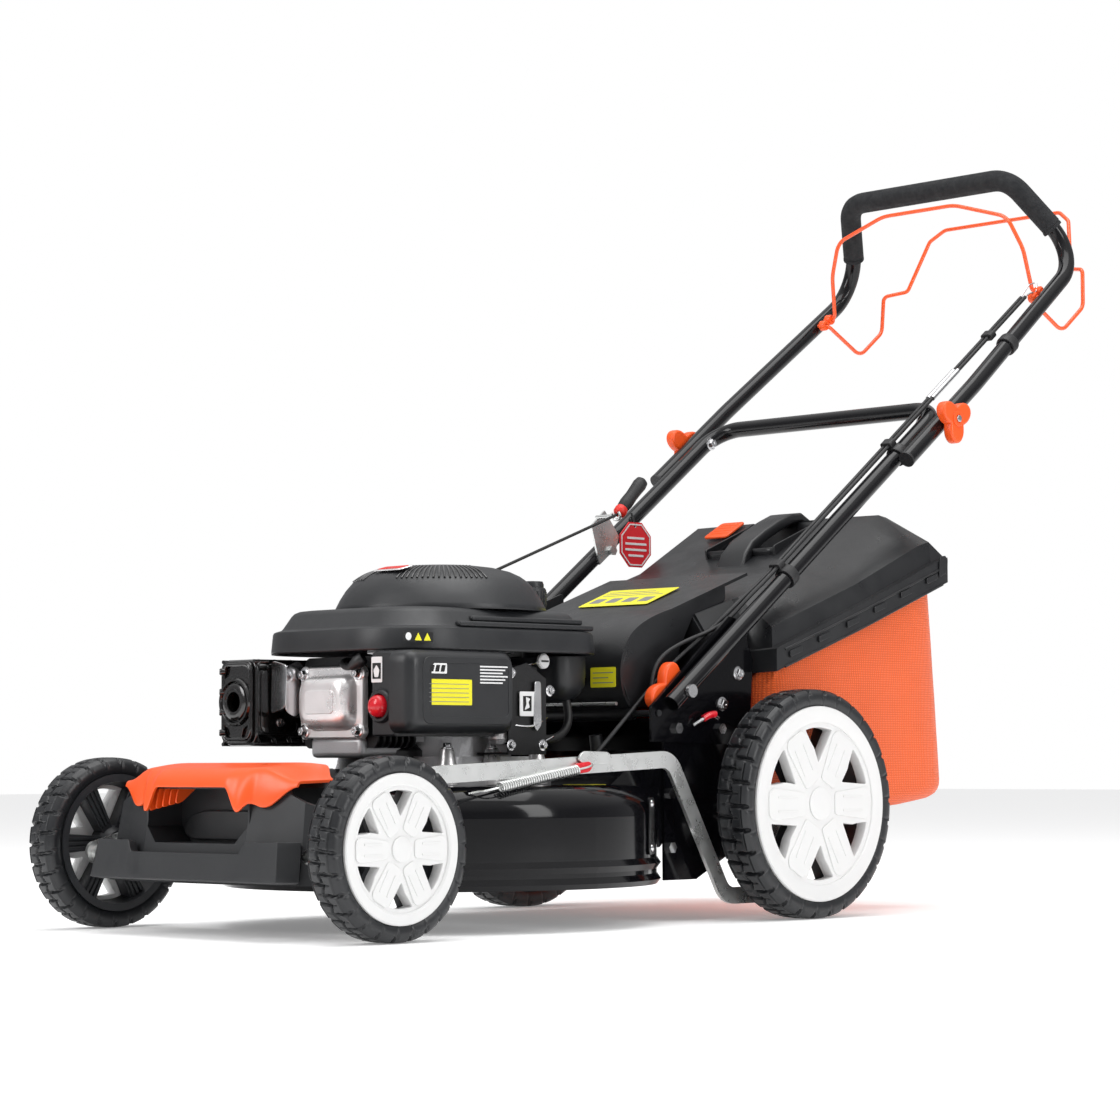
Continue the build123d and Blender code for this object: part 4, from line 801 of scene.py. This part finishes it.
def label(name, outline, x, depth, mat, holes=(), bevel=0.05):
    """A label or a mark on the engine's left side."""
    fixed(side_plate(name, outline, x, depth, holes, bevel), mat, "engine_black")


label("filter_panel", rect(134, 236, 273, 311, 12), 157.0, 1.5, shroud_plastic,
      [rect(146, 243, 268, 305, 9)], 0.7)
label("filter_badge", rect(140, 292.5, 170, 304, 1.5), 158.0, 0.4, sticker_white, bevel=0.1)
label("filter_sticker", rect(138, 257, 209, 286, 1.5), 158.0, 0.4, sticker_yellow, bevel=0.1)
for k in range(3):
    y = 143 + 8.5 * k
    slant = rounded([(y, 294.5), (y + 6, 294.5), (y + 8, 302), (y + 2, 302)], 1)
    label(f"filter_badge_mark_{k}", slant, 158.4, 0.2, sticker_black)
for k in range(6):
    z = 302.2 - 3.7 * k
    label(f"filter_line_{k}", rect(222, z, 266 - 4 * (k % 3), z - 1.6), 158.0, 0.3, sticker_white)
for k in range(5):
    z = 281 - 5 * k
    label(f"filter_sticker_line_{k}", rect(143, z, 204, z - 0.6), 158.4, 0.15, grey_ink, bevel=0.03)

bulb_at = at(105, 118, 256)
collar = [(13.2, -8), (13.2, 2), (14.5, 4.2), (17.5, 4.2), (19, 2.5), (19.6, 0), (19.6, -8)]
fixed(ring_lathe("primer_collar", collar, bulb_at, -Y, 64), shroud_plastic, "engine_black")
bulb = lathe("primer_dome", [(12.6, -6), (12.8, 6), (12.2, 8.5), (10.2, 11.6), (7.4, 13.0), (7.0, 12.4),
                             (5.2, 13.4), (2.5, 13.9), (0, 14)], bulb_at, -Y, 64, 50)
done(bulb, red_rubber, "primer_bulb", "red_rubber", "primer_bulb")
for name, outline, y, depth, bevel, mat in (
    ("primer_label", rect(89, 283, 107, 312, 1.5), 117.9, 0.5, 0.1, sticker_white),
    ("primer_label_field", rect(91, 287, 105, 305), 117.4, 0.3, 0.05, sticker_black),
    ("primer_label_mark", rounded([(95, 289), (101, 289), (103, 297), (98, 303), (93, 297)], 1.5), 117.1,
     0.2, 0.03, sticker_white),
):
    fixed(plate(name, outline, at(0, y, 0), X, Z, depth, bevel=bevel), mat, "engine_black")

choke_arrow = rounded([(312, 253), (320, 256), (318, 262), (321, 266), (314, 268), (315, 260)], 1)
choke_arm = rounded([(328, 286), (337, 286), (338, 236), (331, 228), (326, 236)], 3)
for name, outline, x, depth, holes, bevel, mat in (
    ("choke_frame", rect(304, 246, 328, 274, 1.5), 138.4, 1.6, [rect(308.5, 251, 323.5, 269.5, 1)], 0.4,
     sticker_white),
    ("choke_field", rect(308, 250.5, 324, 270), 138.3, 0.8, (), 0.1, sticker_black),
    ("choke_mark", choke_arrow, 139.2, 0.3, (), 0.05, sticker_white),
):
    done(side_plate(name, outline, x, depth, holes, bevel), mat, "choke_lever", "galvanised")
done(side_plate("choke_arm", choke_arm, 139.3, 1.6), bright_steel, "choke_lever", "galvanised",
     "choke_lever")
for k, (y, z) in enumerate(((292, 296), (356, 276), (292, 212), (344, 212))):
    bolt(f"control_screw_{k}", at(136.6, y, z), X, 9, 5)
for k, points in enumerate((
    ((130, 288, 214), (132, 320, 212), (136, 350, 216), (130, 368, 222)),
    ((134, 296, 236), (140, 316, 232), (140, 338, 238), (128, 360, 244)),
    ((122, 284, 296), (128, 312, 304), (128, 340, 308), (112, 366, 311)),
)):
    fixed(wire(f"governor_rod_{k}", through(*points), 1.4), bright_steel, "galvanised")
top_screw = lathe("top_screw", [(0.1, 0), (9, 0), (9, 3.5), (7.5, 5), (0, 5)], at(114, 366, 311.5), X, 40)
fixed(top_screw, sticker_white, "alloy")
# the screw's slot is not cut: a thin black plate on its head is painted shade for the slot
fixed(side_plate("top_screw_slot_shade", rect(360, 310.4, 372, 312.4), 119.0, 0.4, bevel=0.1), sticker_black,
      "alloy")
for k, (x, y, z, r, h, axis, mat) in enumerate((
    (110, 330, 270, 13, 14, Y, cast_alloy), (112, 300, 232, 15, 26, Z, cover_alloy),
    (112, 300, 218, 11, 10, Z, cast_alloy), (92, 344, 296, 8, 22, Y, cover_alloy),
)):
    section = [(r * 0.7, -h / 2 - 1), (r, -h / 2), (r, h / 2 - 2), (r * 1.15, h / 2 - 1),
               (r * 1.15, h / 2 + 1), (0, h / 2 + 1)]
    fixed(lathe(f"carburettor_cup_{k}", section, at(x, y, z), axis, 48), mat, "alloy")
fixed(block("intake_tube", (94, 276, 290), (124, 352, 306), 7), shroud_plastic, "engine_black")
for k, (x, y) in enumerate(((88, 236), (90, 380), (96, 300), (-90, 236), (-90, 380))):
    leg = lathe(f"sump_lug_{k}", [(13, 166), (13, 184), (11, 190), (8, 206), (6, 210)], at(x, y, 0), Z, 40)
    fixed(leg, cover_alloy, "alloy")
    bolt(f"sump_bolt_{k}", at(x, y, 208), Z, 10, 7)
hose = through((96, 424, 268), (104, 424, 244), (112, 402, 224), (116, 374, 218), (116, 350, 222),
               (114, 332, 226))
fixed(wire("fuel_hose", hose, 5.2), black_rubber, "black_rubber")
tank_rings = []
for z, inset in ((318, 0), (300, 0), (284, 1), (275, 5), (268, 11), (264.5, 19)):
    outline = rect(-40 + inset, 395 + inset, 116 - inset, 449 - inset, 22 - inset * 0.5, 7)
    tank_rings.append([at(x, y, z) for x, y in reversed(outline)])
fixed(loft("tank_shell", tank_rings, 60), shroud_plastic, "engine_black", "fuel_tank")
fixed(lathe("tank_neck", [(12, 318), (12, 384)], at(28, 434, 0), Z, 40), shroud_plastic, "engine_black")

# ---- handles, cables and controls -----------------------------------------------------------
HANDLE_SLOPE = 0.75
ALONG = Vector((0, 0.8, 0.6))
SQUARE = Vector((0, -0.6, 0.8))


def handle_z(y):
    return 276.5 + (y - 521.0) * HANDLE_SLOPE


def by_tube(x, y, rise=16.5):
    """A point beside the left tubes, rise millimetres above their centreline."""
    return at(x, y, handle_z(y)) + SQUARE * (rise / 1000)


def upper_x(y):
    """Half spacing of the upper tubes, which draw in towards the handlebar."""
    return 221 - 19 * max(0.0, y - 1075) / 272


KNOB_CORE = 12.5


def knob(name, hand, face_x, y, z, reach, turn):
    """A three-lobed knob with its hub and nut; reach is the tip of a lobe from the axis."""
    outline = []
    swing = (reach - KNOB_CORE) / 2
    for k in range(72):
        angle = 2 * math.pi * k / 72
        outline.append(polar(KNOB_CORE + swing + swing * math.cos(3 * (angle - math.radians(turn))), angle))
    place = at(hand * face_x, y, z)
    lobes = plate(name + "_lobes", outline, place, Y * hand, Z, 14.5, bevel=3.2)
    done(lobes, orange_plastic, name, "orange_plastic", name)
    hub = [(11, 14), (10.5, 15.6), (9, 16.2), (5.6, 16.2), (5.4, 14.8), (0, 14.8)]
    done(lathe(name + "_hub", hub, place, X * hand, 40), orange_plastic, name, "orange_plastic")
    nut = lathe(name + "_nut", [(5, 14.8), (5, 17.2), (3.5, 17.6), (0, 17.6)], place, X * hand, 6)
    done(nut, bright_steel, name, "steel", bevel=0.0003)


FOLD_Y = 1004.0
for hand, side in ((1, "left"), (-1, "right")):
    knob("knob_lower_" + side, hand, 165.6, 521, 276.5, 33.0, 80.0)
    knob("knob_upper_" + side, hand, 233.2, FOLD_Y, handle_z(FOLD_Y), 29.0, 30.0)
    bolt(f"fold_bolt_{side}", at(hand * 187.5, FOLD_Y, handle_z(FOLD_Y)), X * -hand, 13, 6, "lower_handle")
    for y, z, bail in ((1268, 840.75, "brake_bail"), (1255, 831.0, "drive_bail")):
        bush = [(3, 0), (6.5, 0), (7.5, 2), (7.5, 9), (5, 11), (3, 11)]
        done(ring_lathe(f"{bail}_bush_{side}", bush, at(hand * 183.5, y, z), X * hand, 40), orange_plastic,
             bail, "orange_plastic")
    end_plug = lathe(f"tube_end_{side}", [(0, -1.5), (10, -1.5), (11.2, 0), (11.2, 3), (0, 3)],
                     at(hand * 221, 930, handle_z(930)), ALONG * -1, 40)
    done(end_plug, black_rubber, "upper_handle", "black_rubber")
    tube_foot, tube_top = through((hand * 202, 1347, 894), (hand * 143, 1262, 1005))
    crease = lathe(f"foam_end_{side}", [(11.2, -2), (14.6, -2), (15.2, 0), (15.2, 3), (11.2, 3)],
                   tube_foot.lerp(tube_top, 0.39), tube_foot - tube_top, 48)
    done(crease, foam_rubber, "upper_handle", "foam")

grip_corner, grip_foot = through((143, 1262, 1005), (202, 1347, 896))
grip_half = [grip_corner.lerp(grip_foot, 0.6), grip_corner.lerp(grip_foot, 0.37), grip_corner,
             grip_corner - X * 0.055]
grip_line = grip_half + [Vector((-p.x, p.y, p.z)) for p in reversed(grip_half)]
foam = wire("foam_sleeve", grip_line, 15.0)
done(foam, foam_rubber, "upper_handle", "foam", "foam_grip")


def clip(name, x, y, body, cable_x):
    """A band round the tube with a holder for the two cables."""
    section = [(11.2, -7), (13.6, -7), (14.2, -5), (14.2, 5), (13.6, 7), (11.2, 7)]
    band = ring_lathe(name + "_band", section, at(x, y, handle_z(y)), ALONG, 48)
    done(band, black_rubber, body, "black_rubber")
    ends = []
    for t in (-6, 6):
        centre = by_tube(cable_x, y) + ALONG * (t / 1000)
        outline = rect(-9, -5, 9, 5.5, 4, 4)
        ends.append([centre + X * (px / 1000) + SQUARE * (pz / 1000) for px, pz in outline])
    done(loft(name + "_holder", ends), black_rubber, body, "black_rubber", bevel=0.0008)


clip("clip_lower", 198, 716, "lower_handle", 190)
clip("clip_middle", 198, 940, "lower_handle", 190)
clip("clip_upper", upper_x(1158), 1158, "upper_handle", 191)

BRAKE_X, DRIVE_X = 193.0, 186.0
RUN_STEPS = (700, 712, 790, 860, 930, 985, 1020, 1060, 1120, 1180, 1240)
for k, x in enumerate((BRAKE_X, DRIVE_X)):
    run = wire(f"cable_handle_{k}", [by_tube(x, y) for y in RUN_STEPS], 2.6)
    done(run, black_rubber, None, "black_rubber", *(("cables_lower", "cables_upper") if k == 0 else ()))
    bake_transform(run)
    sleeve = wire(f"cable_sleeve_{k}", [by_tube(x, y) for y in (1030, 1050, 1086)], 3.5)
    done(sleeve, bright_steel, "upper_handle", "steel")
brake_end = [by_tube(BRAKE_X, 1238), by_tube(BRAKE_X, 1250)] + through((190, 1262, 838), (187, 1266, 852))
done(wire("bail_cable_brake", brake_end, 1.0), bright_steel, "upper_handle", "steel")
drive_end = [by_tube(DRIVE_X, 1238)] + through((187, 1246, 848), (188, 1252, 850), (188, 1258, 852))
done(wire("bail_cable_drive", drive_end, 1.0), bright_steel, "upper_handle", "steel")
brake_route = [by_tube(BRAKE_X, 712), by_tube(BRAKE_X, 690), by_tube(190, 664)] + through(
    (176, 618, 358), (163, 560, 338), (162, 518, 318), (161, 505, 290), (162, 505, 258), (162, 520, 238),
    (162, 536, 226))
engine_a = wire("cable_engine_a", brake_route, 2.6)
done(engine_a, black_rubber, None, "black_rubber", "cables_engine")
drive_route = [by_tube(DRIVE_X, 712), by_tube(DRIVE_X, 690), by_tube(180, 650)] + through(
    (168, 600, 350), (158, 556, 318), (156, 520, 290), (148, 472, 243), (140, 424, 196))
engine_b = wire("cable_engine_b", drive_route, 2.6)
done(engine_b, black_rubber, None, "black_rubber")
for piece in (engine_a, engine_b):
    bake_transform(piece)
hook = through((190, 548, 236), (196, 560, 244), (200, 572, 250), (200, 582, 244))
fixed(wire("cable_hook", hook, 2.4), bright_steel, "steel")
hook_grip = through((196, 560, 244), (199, 570, 250), (200, 577, 249))
fixed(wire("cable_hook_grip", hook_grip, 4.2), red_rubber, "red_rubber")

ROPE_EXIT, ROPE_END = at(-100, 392, 396), at(-150, 770, 523)
ROPE_AIM = (ROPE_END - ROPE_EXIT).normalized()
rope = wire("starter_cord", [ROPE_EXIT, at(-125, 581, 459.5), ROPE_END], 2.0)
done(rope, rope_fibre, None, "rope_fibre", "starter_rope")
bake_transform(rope)
eyelet = [(7.2, -22), (7.2, -3), (6.2, 0), (3.2, 0.4), (2.6, -1.5)]
fixed(lathe("rope_eyelet", eyelet, ROPE_EXIT, ROPE_AIM, 40), shroud_plastic, "dome_black")
GRIP_FOOT = ROPE_END + ROPE_AIM * 0.006
GRIP_TIP = at(-150, 820, 570)
grip_aim = (GRIP_TIP - GRIP_FOOT).normalized()
pull = lathe("pull_grip", [(6, 8), (8.4, 12), (9.4, 22), (8.6, 36), (9.2, 50), (9.8, 58), (8.6, 65),
                           (5, 68), (0, 68.6)], GRIP_FOOT, grip_aim, 48, 60)
done(pull, black_rubber, "starter_grip", "engine_black", "starter_grip")
base = lathe("pull_grip_base", [(3, -1), (6.6, -0.5), (8.6, 2), (9.0, 8), (7.4, 13)], GRIP_FOOT, grip_aim,
             48, 60)
done(base, red_paint, "starter_grip", "engine_black")
core_route = [GRIP_FOOT - ROPE_AIM * back for back in (0, 0.003, 0.09, 0.17)]
done(wire("starter_core", core_route, 1.2), rope_fibre, "starter_grip", "rope_fibre")

tag_centre = at(-182.6, 842, 488)
octagon = circle(33, 8, start=math.radians(22.5))
tag = plate("octagon_tag", octagon, tag_centre - X * 0.0008, Y, Z, 1.6, [circle(3, 16, (0, 26))], 0.3)
done(tag, tag_plastic, "hang_tag", "tag_red", "hang_tag")
border, inner = ([(x * part, y * part) for x, y in octagon] for part in (0.93, 0.88))
for face, shift in (("near", 0.0009), ("far", -0.0014)):
    ring = plate(f"tag_border_{face}", border, tag_centre + X * shift, Y, Z, 0.5, [inner], 0.1)
    done(ring, sticker_white, "hang_tag", "tag_red")
    for k, width in enumerate((17, 21, 21, 15)):
        z = 9 - 8 * k
        bar = rect(-width, z - 1.4, width, z + 1.4, 1.2)
        done(plate(f"tag_bar_{face}_{k}", bar, tag_centre + X * shift, Y, Z, 0.5, bevel=0.1), sticker_white,
             "hang_tag", "tag_red")
tie = through((-183, 842, 512), (-186, 843, 520), (-190, 842, 530), (-186, 838, 534), (-182, 840, 522),
              (-182.5, 842, 513))
done(wire("tag_tie", tie, 0.9), black_rubber, "lower_handle", "black_rubber")


# ---- rear flap ------------------------------------------------------------------------------
dress(bag_plastic, "rear_flap")
FLAP_RUN = Vector((0, 139, 52)).normalized()
flap_side = [(489, 258), (471, 296), (485, 339), (521, 364), (561, 377), (660, 413), (660, 392),
             (600, 372), (575, 330), (560, 262)]


def on_flap(obj, mat):
    done(obj, mat, "rear_flap", "engine_black")


for hand in (-1, 1):
    on_flap(side_plate(f"flap_cheek_{hand + 1}", rounded(flap_side, 6), hand * 142 - 1.25, 2.5),
            bag_plastic)
on_flap(plate("flap_sticker", rect(-58, 0, 62, 66, 3), at(20, 582, 388.0), X, FLAP_RUN, 0.5, bevel=0.1),
        sticker_yellow)
marks = [(f"mark_{k}", rect(-50 + 28 * k, 12, -32 + 28 * k, 30, 2)) for k in range(4)]
marks += [(f"line_{k}", rect(-50, 40 + 7 * k, 54 - 12 * k, 41.6 + 7 * k)) for k in range(3)]
for name, outline in marks:
    on_flap(plate("flap_sticker_" + name, outline, at(20, 582, 388.5), X, FLAP_RUN, 0.25, bevel=0.05),
            grey_ink)
small = plate("flap_sticker_small", rect(96, 282, 138, 306, 2), at(0, 467.4, 0), X, Z, 0.6, bevel=0.1)
on_flap(small, sticker_yellow)
for k in range(3):
    z = 300 - 6 * k
    line = rect(100, z, 134 - 8 * (k % 2), z - 1)
    on_flap(plate(f"flap_small_line_{k}", line, at(0, 466.9, 0), X, Z, 0.3, bevel=0.05), grey_ink)

# ---- grass catcher --------------------------------------------------------------------------
# rows of: behind the axle, lip x, lip foot, ledge, shoulder x, neck, roof x, roof height
STATIONS = [
    (602, 177, 276, 304, 173, 336, 145, 374), (668, 177, 301, 328, 174, 356, 147, 394),
    (676, 214, 303, 331, 206, 358, 151, 397), (825, 228, 359, 390, 216, 415, 158, 446),
    (945, 235, 406, 440, 225, 470, 160, 514), (966, 236, 414, 448, 226, 476, 156, 512),
    (990, 238, 424, 456, 205, 458, 150, 460),
]


def station_ring(row):
    back, lip, low, ledge, shoulder, neck, roof, top = row
    half = [(lip, low), (lip, ledge), (lip - 7, ledge + 1.5), (shoulder, neck), (roof, top),
            (roof * 0.35, top + 1)]
    return [at(x, back, z) for x, z in half] + [at(-x, back, z) for x, z in reversed(half)]


def between(a, b, t):
    return tuple(p + (q - p) * t for p, q in zip(a, b))


def station_at(y):
    """The cover's row at a place between two stations."""
    return next(between(a, b, (y - a[0]) / (b[0] - a[0])) for a,
                b in zip(STATIONS, STATIONS[1:]) if a[0] <= y <= b[0])


def on_bag(obj, *stands_for, bevel=0.0):
    done(obj, bag_plastic, "grass_catcher", "engine_black", *stands_for, bevel=bevel)


rows = []
for a, b in zip(STATIONS, STATIONS[1:]):
    cuts = max(1, round((b[0] - a[0]) / 24))
    rows += [between(a, b, k / cuts) for k in range(cuts)]
rows.append(STATIONS[-1])
cover_rings = [station_ring(row) for row in rows]
ring_count = len(cover_rings[0])
cover_faces = quads(ring_count, len(rows), closed=False, flip=True)
cover_faces.append([(len(rows) - 1) * ring_count + i for i in range(ring_count)])
cover_faces.append(list(reversed(range(ring_count))))
cover_verts = [p for ring in cover_rings for p in ring]
cover = thicken(mesh_object("catcher_cover", cover_verts, cover_faces, 30), 0.003)
scoop_side = [(852, 600), (852, 470), (862, 436), (876, 428), (930, 446), (950, 470), (950, 600)]
hollow = side_plate("scoop_cutter", rounded(scoop_side, 6), -58, 116)
cut = cover.modifiers.new("scoop", "BOOLEAN")
cut.operation = "DIFFERENCE"
cut.object = hollow
carved = evaluated(cover)
cover.modifiers.clear()
cover.data = carved
bpy.data.objects.remove(hollow)
smooth(carved, 30)
on_bag(cover, "bag_cover", bevel=0.0022)


def scoop_point(s, t):
    profile = [(850, 472), (858, 446), (872, 430), (905, 434), (934, 447), (948, 472), (952, 512)]
    place = t * (len(profile) - 1)
    k = min(int(place), len(profile) - 2)
    (y0, z0), (y1, z1) = profile[k], profile[k + 1]
    f = place - k
    return at(61 * s, y0 + (y1 - y0) * f, z0 + (z1 - z0) * f)


on_bag(thicken(skin("scoop_floor", scoop_point, 8, 30, 60), 0.003, 1))
scoop_cheek = [(849, 474), (860, 434), (878, 426), (934, 444), (954, 514), (944, 512)]
for hand in (-1, 1):
    on_bag(side_plate(f"scoop_cheek_{hand + 1}", rounded(scoop_cheek, 4), hand * 60 - 1.5, 3))
bar_path = [(832, 444, 24, 5), (842, 462, 23, 7), (858, 478, 21, 7.5), (884, 493, 20, 7.5),
            (912, 507, 20, 7.5), (936, 517, 21, 7), (952, 520, 23, 6), (966, 513, 25, 4)]
bar_rings = []
for k, (y, z, half, thick) in enumerate(bar_path):
    ahead, behind = bar_path[min(k + 1, len(bar_path) - 1)], bar_path[max(k - 1, 0)]
    rise = X.cross(Vector((0, ahead[0] - behind[0], ahead[1] - behind[1])).normalized())
    outline = rect(-half, -thick, half, thick, 5, 4)
    bar_rings.append([at(0, y, z) + X * (px / 1000) + rise * (pz / 1000) for px, pz in outline])
on_bag(loft("catcher_handle", bar_rings, 50))
for hand in (-1, 1):
    for k in range(6):
        y = 690 + (985 - 690) * (0.06 + 0.17 * k)
        row = station_at(y)
        x, z = row[1], (row[2] + row[3]) / 2
        tab = rounded([(y - 11, z - 8), (y + 11, z - 0.5), (y + 11, z + 6), (y - 11, z - 1.5)], 1.6)
        on_bag(side_plate(f"lip_tab_{hand + 1}_{k}", tab, x - 0.4 if hand > 0 else -x - 2.2, 2.6))
    for k, (draw_in, rise) in enumerate(((0, 0.5), (0.2, 22))):
        bead = []
        for y in (690, 760, 825, 885, 945, 980):
            row = station_at(y)
            bead.append(at(hand * (row[1] - draw_in), y, row[2] + rise))
        on_bag(wire(f"lip_bead_{hand + 1}_{k}", bead, 1.5))
clasp = rounded([(972, 430), (986, 436), (986, 458), (974, 456)], 3)
on_bag(side_plate("catcher_clasp", clasp, 236.5, 2.4))

FLAG_RUN = Vector((0, 38, 21.5)).normalized()
flag = plate("fill_indicator", rect(-20, 0, 20, 43, 5), at(-92, 905.6, 494.6), X, FLAG_RUN, 3.2, bevel=1.0)
done(flag, orange_plastic, "bag_indicator", "orange_plastic", "bag_indicator")
for k in range(4):
    slat = rect(-15, 8 + 8 * k, 15, 11 + 8 * k, 1)
    done(plate(f"indicator_rib_{k}", slat, at(-92, 905.6, 497.6), X, FLAG_RUN, 1.0, bevel=0.3),
         orange_plastic, "bag_indicator", "orange_plastic")

# rows of: behind the axle, half width, floor, top edge
BAG_PLAN = [(612, 167, 186, 288), (640, 167, 186, 288), (672, 167, 186, 290), (676, 186, 186, 305),
            (682, 202, 186, 318),
            (700, 204, 186, 326), (722, 205, 186, 335), (742, 205, 182, 343), (760, 205, 165, 350),
            (778, 205, 148, 357),
            (794, 205, 138, 364), (820, 205, 136, 374), (850, 205, 135, 386), (880, 205, 134, 398),
            (905, 205, 134, 408),
            (935, 205, 137, 420), (960, 205, 141, 430), (978, 204, 144, 437), (990, 200, 147, 437),
            (996, 192, 152, 434)]


def bag_ring(y, half, low, high, place):
    ring = []
    r = 20.0
    sides, bend, floor = 12, 5, 20
    for k in range(sides + 1):
        ring.append((-half, high + (low + r - high) * k / sides))
    for k in range(1, bend):
        a = math.pi / 2 * k / bend
        ring.append((-half + r * (1 - math.cos(a)), low + r * (1 - math.sin(a))))
    for k in range(floor + 1):
        ring.append((-half + r + (2 * half - 2 * r) * k / floor, low))
    ring += [(-x, z) for x, z in reversed(ring[:sides + bend])]
    result = []
    for x, z in ring:
        up = (z - low) / max(1.0, high - low)
        swell = math.sin(math.pi * min(1, max(0, up))) * math.sin(math.pi * place)
        lean = max(0.0, (y - 900) / 96) * (1 - up) * 26
        fold = 1.6 * math.sin(y * 0.075 + z * 0.05) * math.sin(z * 0.031 + 1.3) * swell
        side_push = math.copysign(1, x) * (5 * swell + fold) if abs(x) > half - r else 0.0
        sag = -3.0 * math.cos(math.pi * x / (2 * half)) * math.sin(math.pi * place) if z < low + 1 else 0.0
        result.append(at(x + side_push, y + lean, max(131.5, z + sag)))
    return result

bag_rings = [bag_ring(*plan, k / (len(BAG_PLAN) - 1)) for k, plan in enumerate(BAG_PLAN)]
# the rear panel: the last ring drawn in to its middle line, bulging a little
last = bag_rings[-1]
for k in range(1, 9):
    bulge = 0.004 * math.sin(math.pi / 2 * k / 8)
    bag_rings.append([Vector((point.x * (1 - k / 8), point.y + bulge, point.z)) for point in last])
bag = thicken(loft("catcher_fabric", bag_rings, 60, (False, False), closed=False), 0.0015)
done(bag, orange_mesh, "grass_catcher", "orange_mesh", "bag_fabric")

# ---- floor, lights and camera ---------------------------------------------------------------
floor_mat, tree, bsdf = nodes_of("studio_floor")
noise = add(tree, "ShaderNodeTexNoise", Scale=40.0).outputs["Fac"]
relief = add(tree, "ShaderNodeBump", Height=noise, Strength=0.02, Distance=0.001)
feed(tree, bsdf, {"Base Color": (0.92, 0.92, 0.92, 1), "Roughness": 0.9, "Normal": relief.outputs["Normal"],
                  "Emission Color": (1, 1, 1, 1), "Emission Strength": 0.22})
HALF_FLOOR = 14.0
corners = [(x, y, 0) for x, y in rect(-HALF_FLOOR, -HALF_FLOOR, HALF_FLOOR, HALF_FLOOR)]
floor = mesh_object("studio_floor", corners, [(0, 1, 2, 3)])
floor.data.materials.append(floor_mat)

# white to the camera, and grey below to pale above in reflections and light
world = bpy.data.worlds.new("studio")
bpy.context.scene.world = world
world.use_nodes = True
tree = world.node_tree
split = feed(tree, add(tree, "ShaderNodeSeparateXYZ"),
             {0: add(tree, "ShaderNodeTexCoord").outputs["Generated"]})
ramp = add(tree, "ShaderNodeValToRGB", Fac=split.outputs["Z"])
for stop, position, color in zip(ramp.color_ramp.elements, (0.35, 0.8),
                                 ((0.32, 0.32, 0.33, 1), (0.9, 0.9, 0.9, 1))):
    stop.position = position
    stop.color = color
seen = add(tree, "ShaderNodeLightPath").outputs["Is Camera Ray"]
sky = mixed(tree, seen, ramp.outputs["Color"], (1.0, 1.0, 1.0, 1))
feed(tree, tree.nodes["Background"], {"Color": sky, "Strength": 1.0})
bpy.context.scene.view_settings.view_transform = "Standard"


def softbox(name, place, target, width, height, power):
    light = bpy.data.lights.new(name, "AREA")
    light.shape = "RECTANGLE"
    light.size = width
    light.size_y = height
    light.energy = power
    lamp = new_object(name, light)
    lamp.location = place
    lamp.rotation_euler = (Vector(target) - Vector(place)).to_track_quat("-Z", "Y").to_euler()


softbox("overhead", (0.4, -0.2, 3.4), (0, 0, 0.4), 2.6, 2.6, 60)
softbox("near_side", (3.4, 0.2, 1.7), (0, 0, 0.4), 0.9, 2.4, 42)
softbox("front", (-0.9, -3.2, 1.9), (0, -0.3, 0.3), 1.2, 1.8, 40)

yaw, pitch, roll = math.radians(134.789), math.radians(3.97), -0.0043
forward = Vector((math.cos(yaw) * math.cos(pitch), math.sin(yaw) * math.cos(pitch), math.sin(pitch)))
right = forward.cross(Z).normalized()
up = right.cross(forward)
right, up = around(right, up, roll), around(up, -right, roll)
lens = bpy.data.cameras.new("camera")
lens.lens = 99.34
lens.sensor_width = 36.0
lens.sensor_fit = "HORIZONTAL"
camera = new_object("camera", lens)
pose = Matrix((right, up, -forward)).transposed().to_4x4()
pose.translation = (2.7149, -2.894, 0.1915)
camera.matrix_world = pose
bpy.context.scene.camera = camera
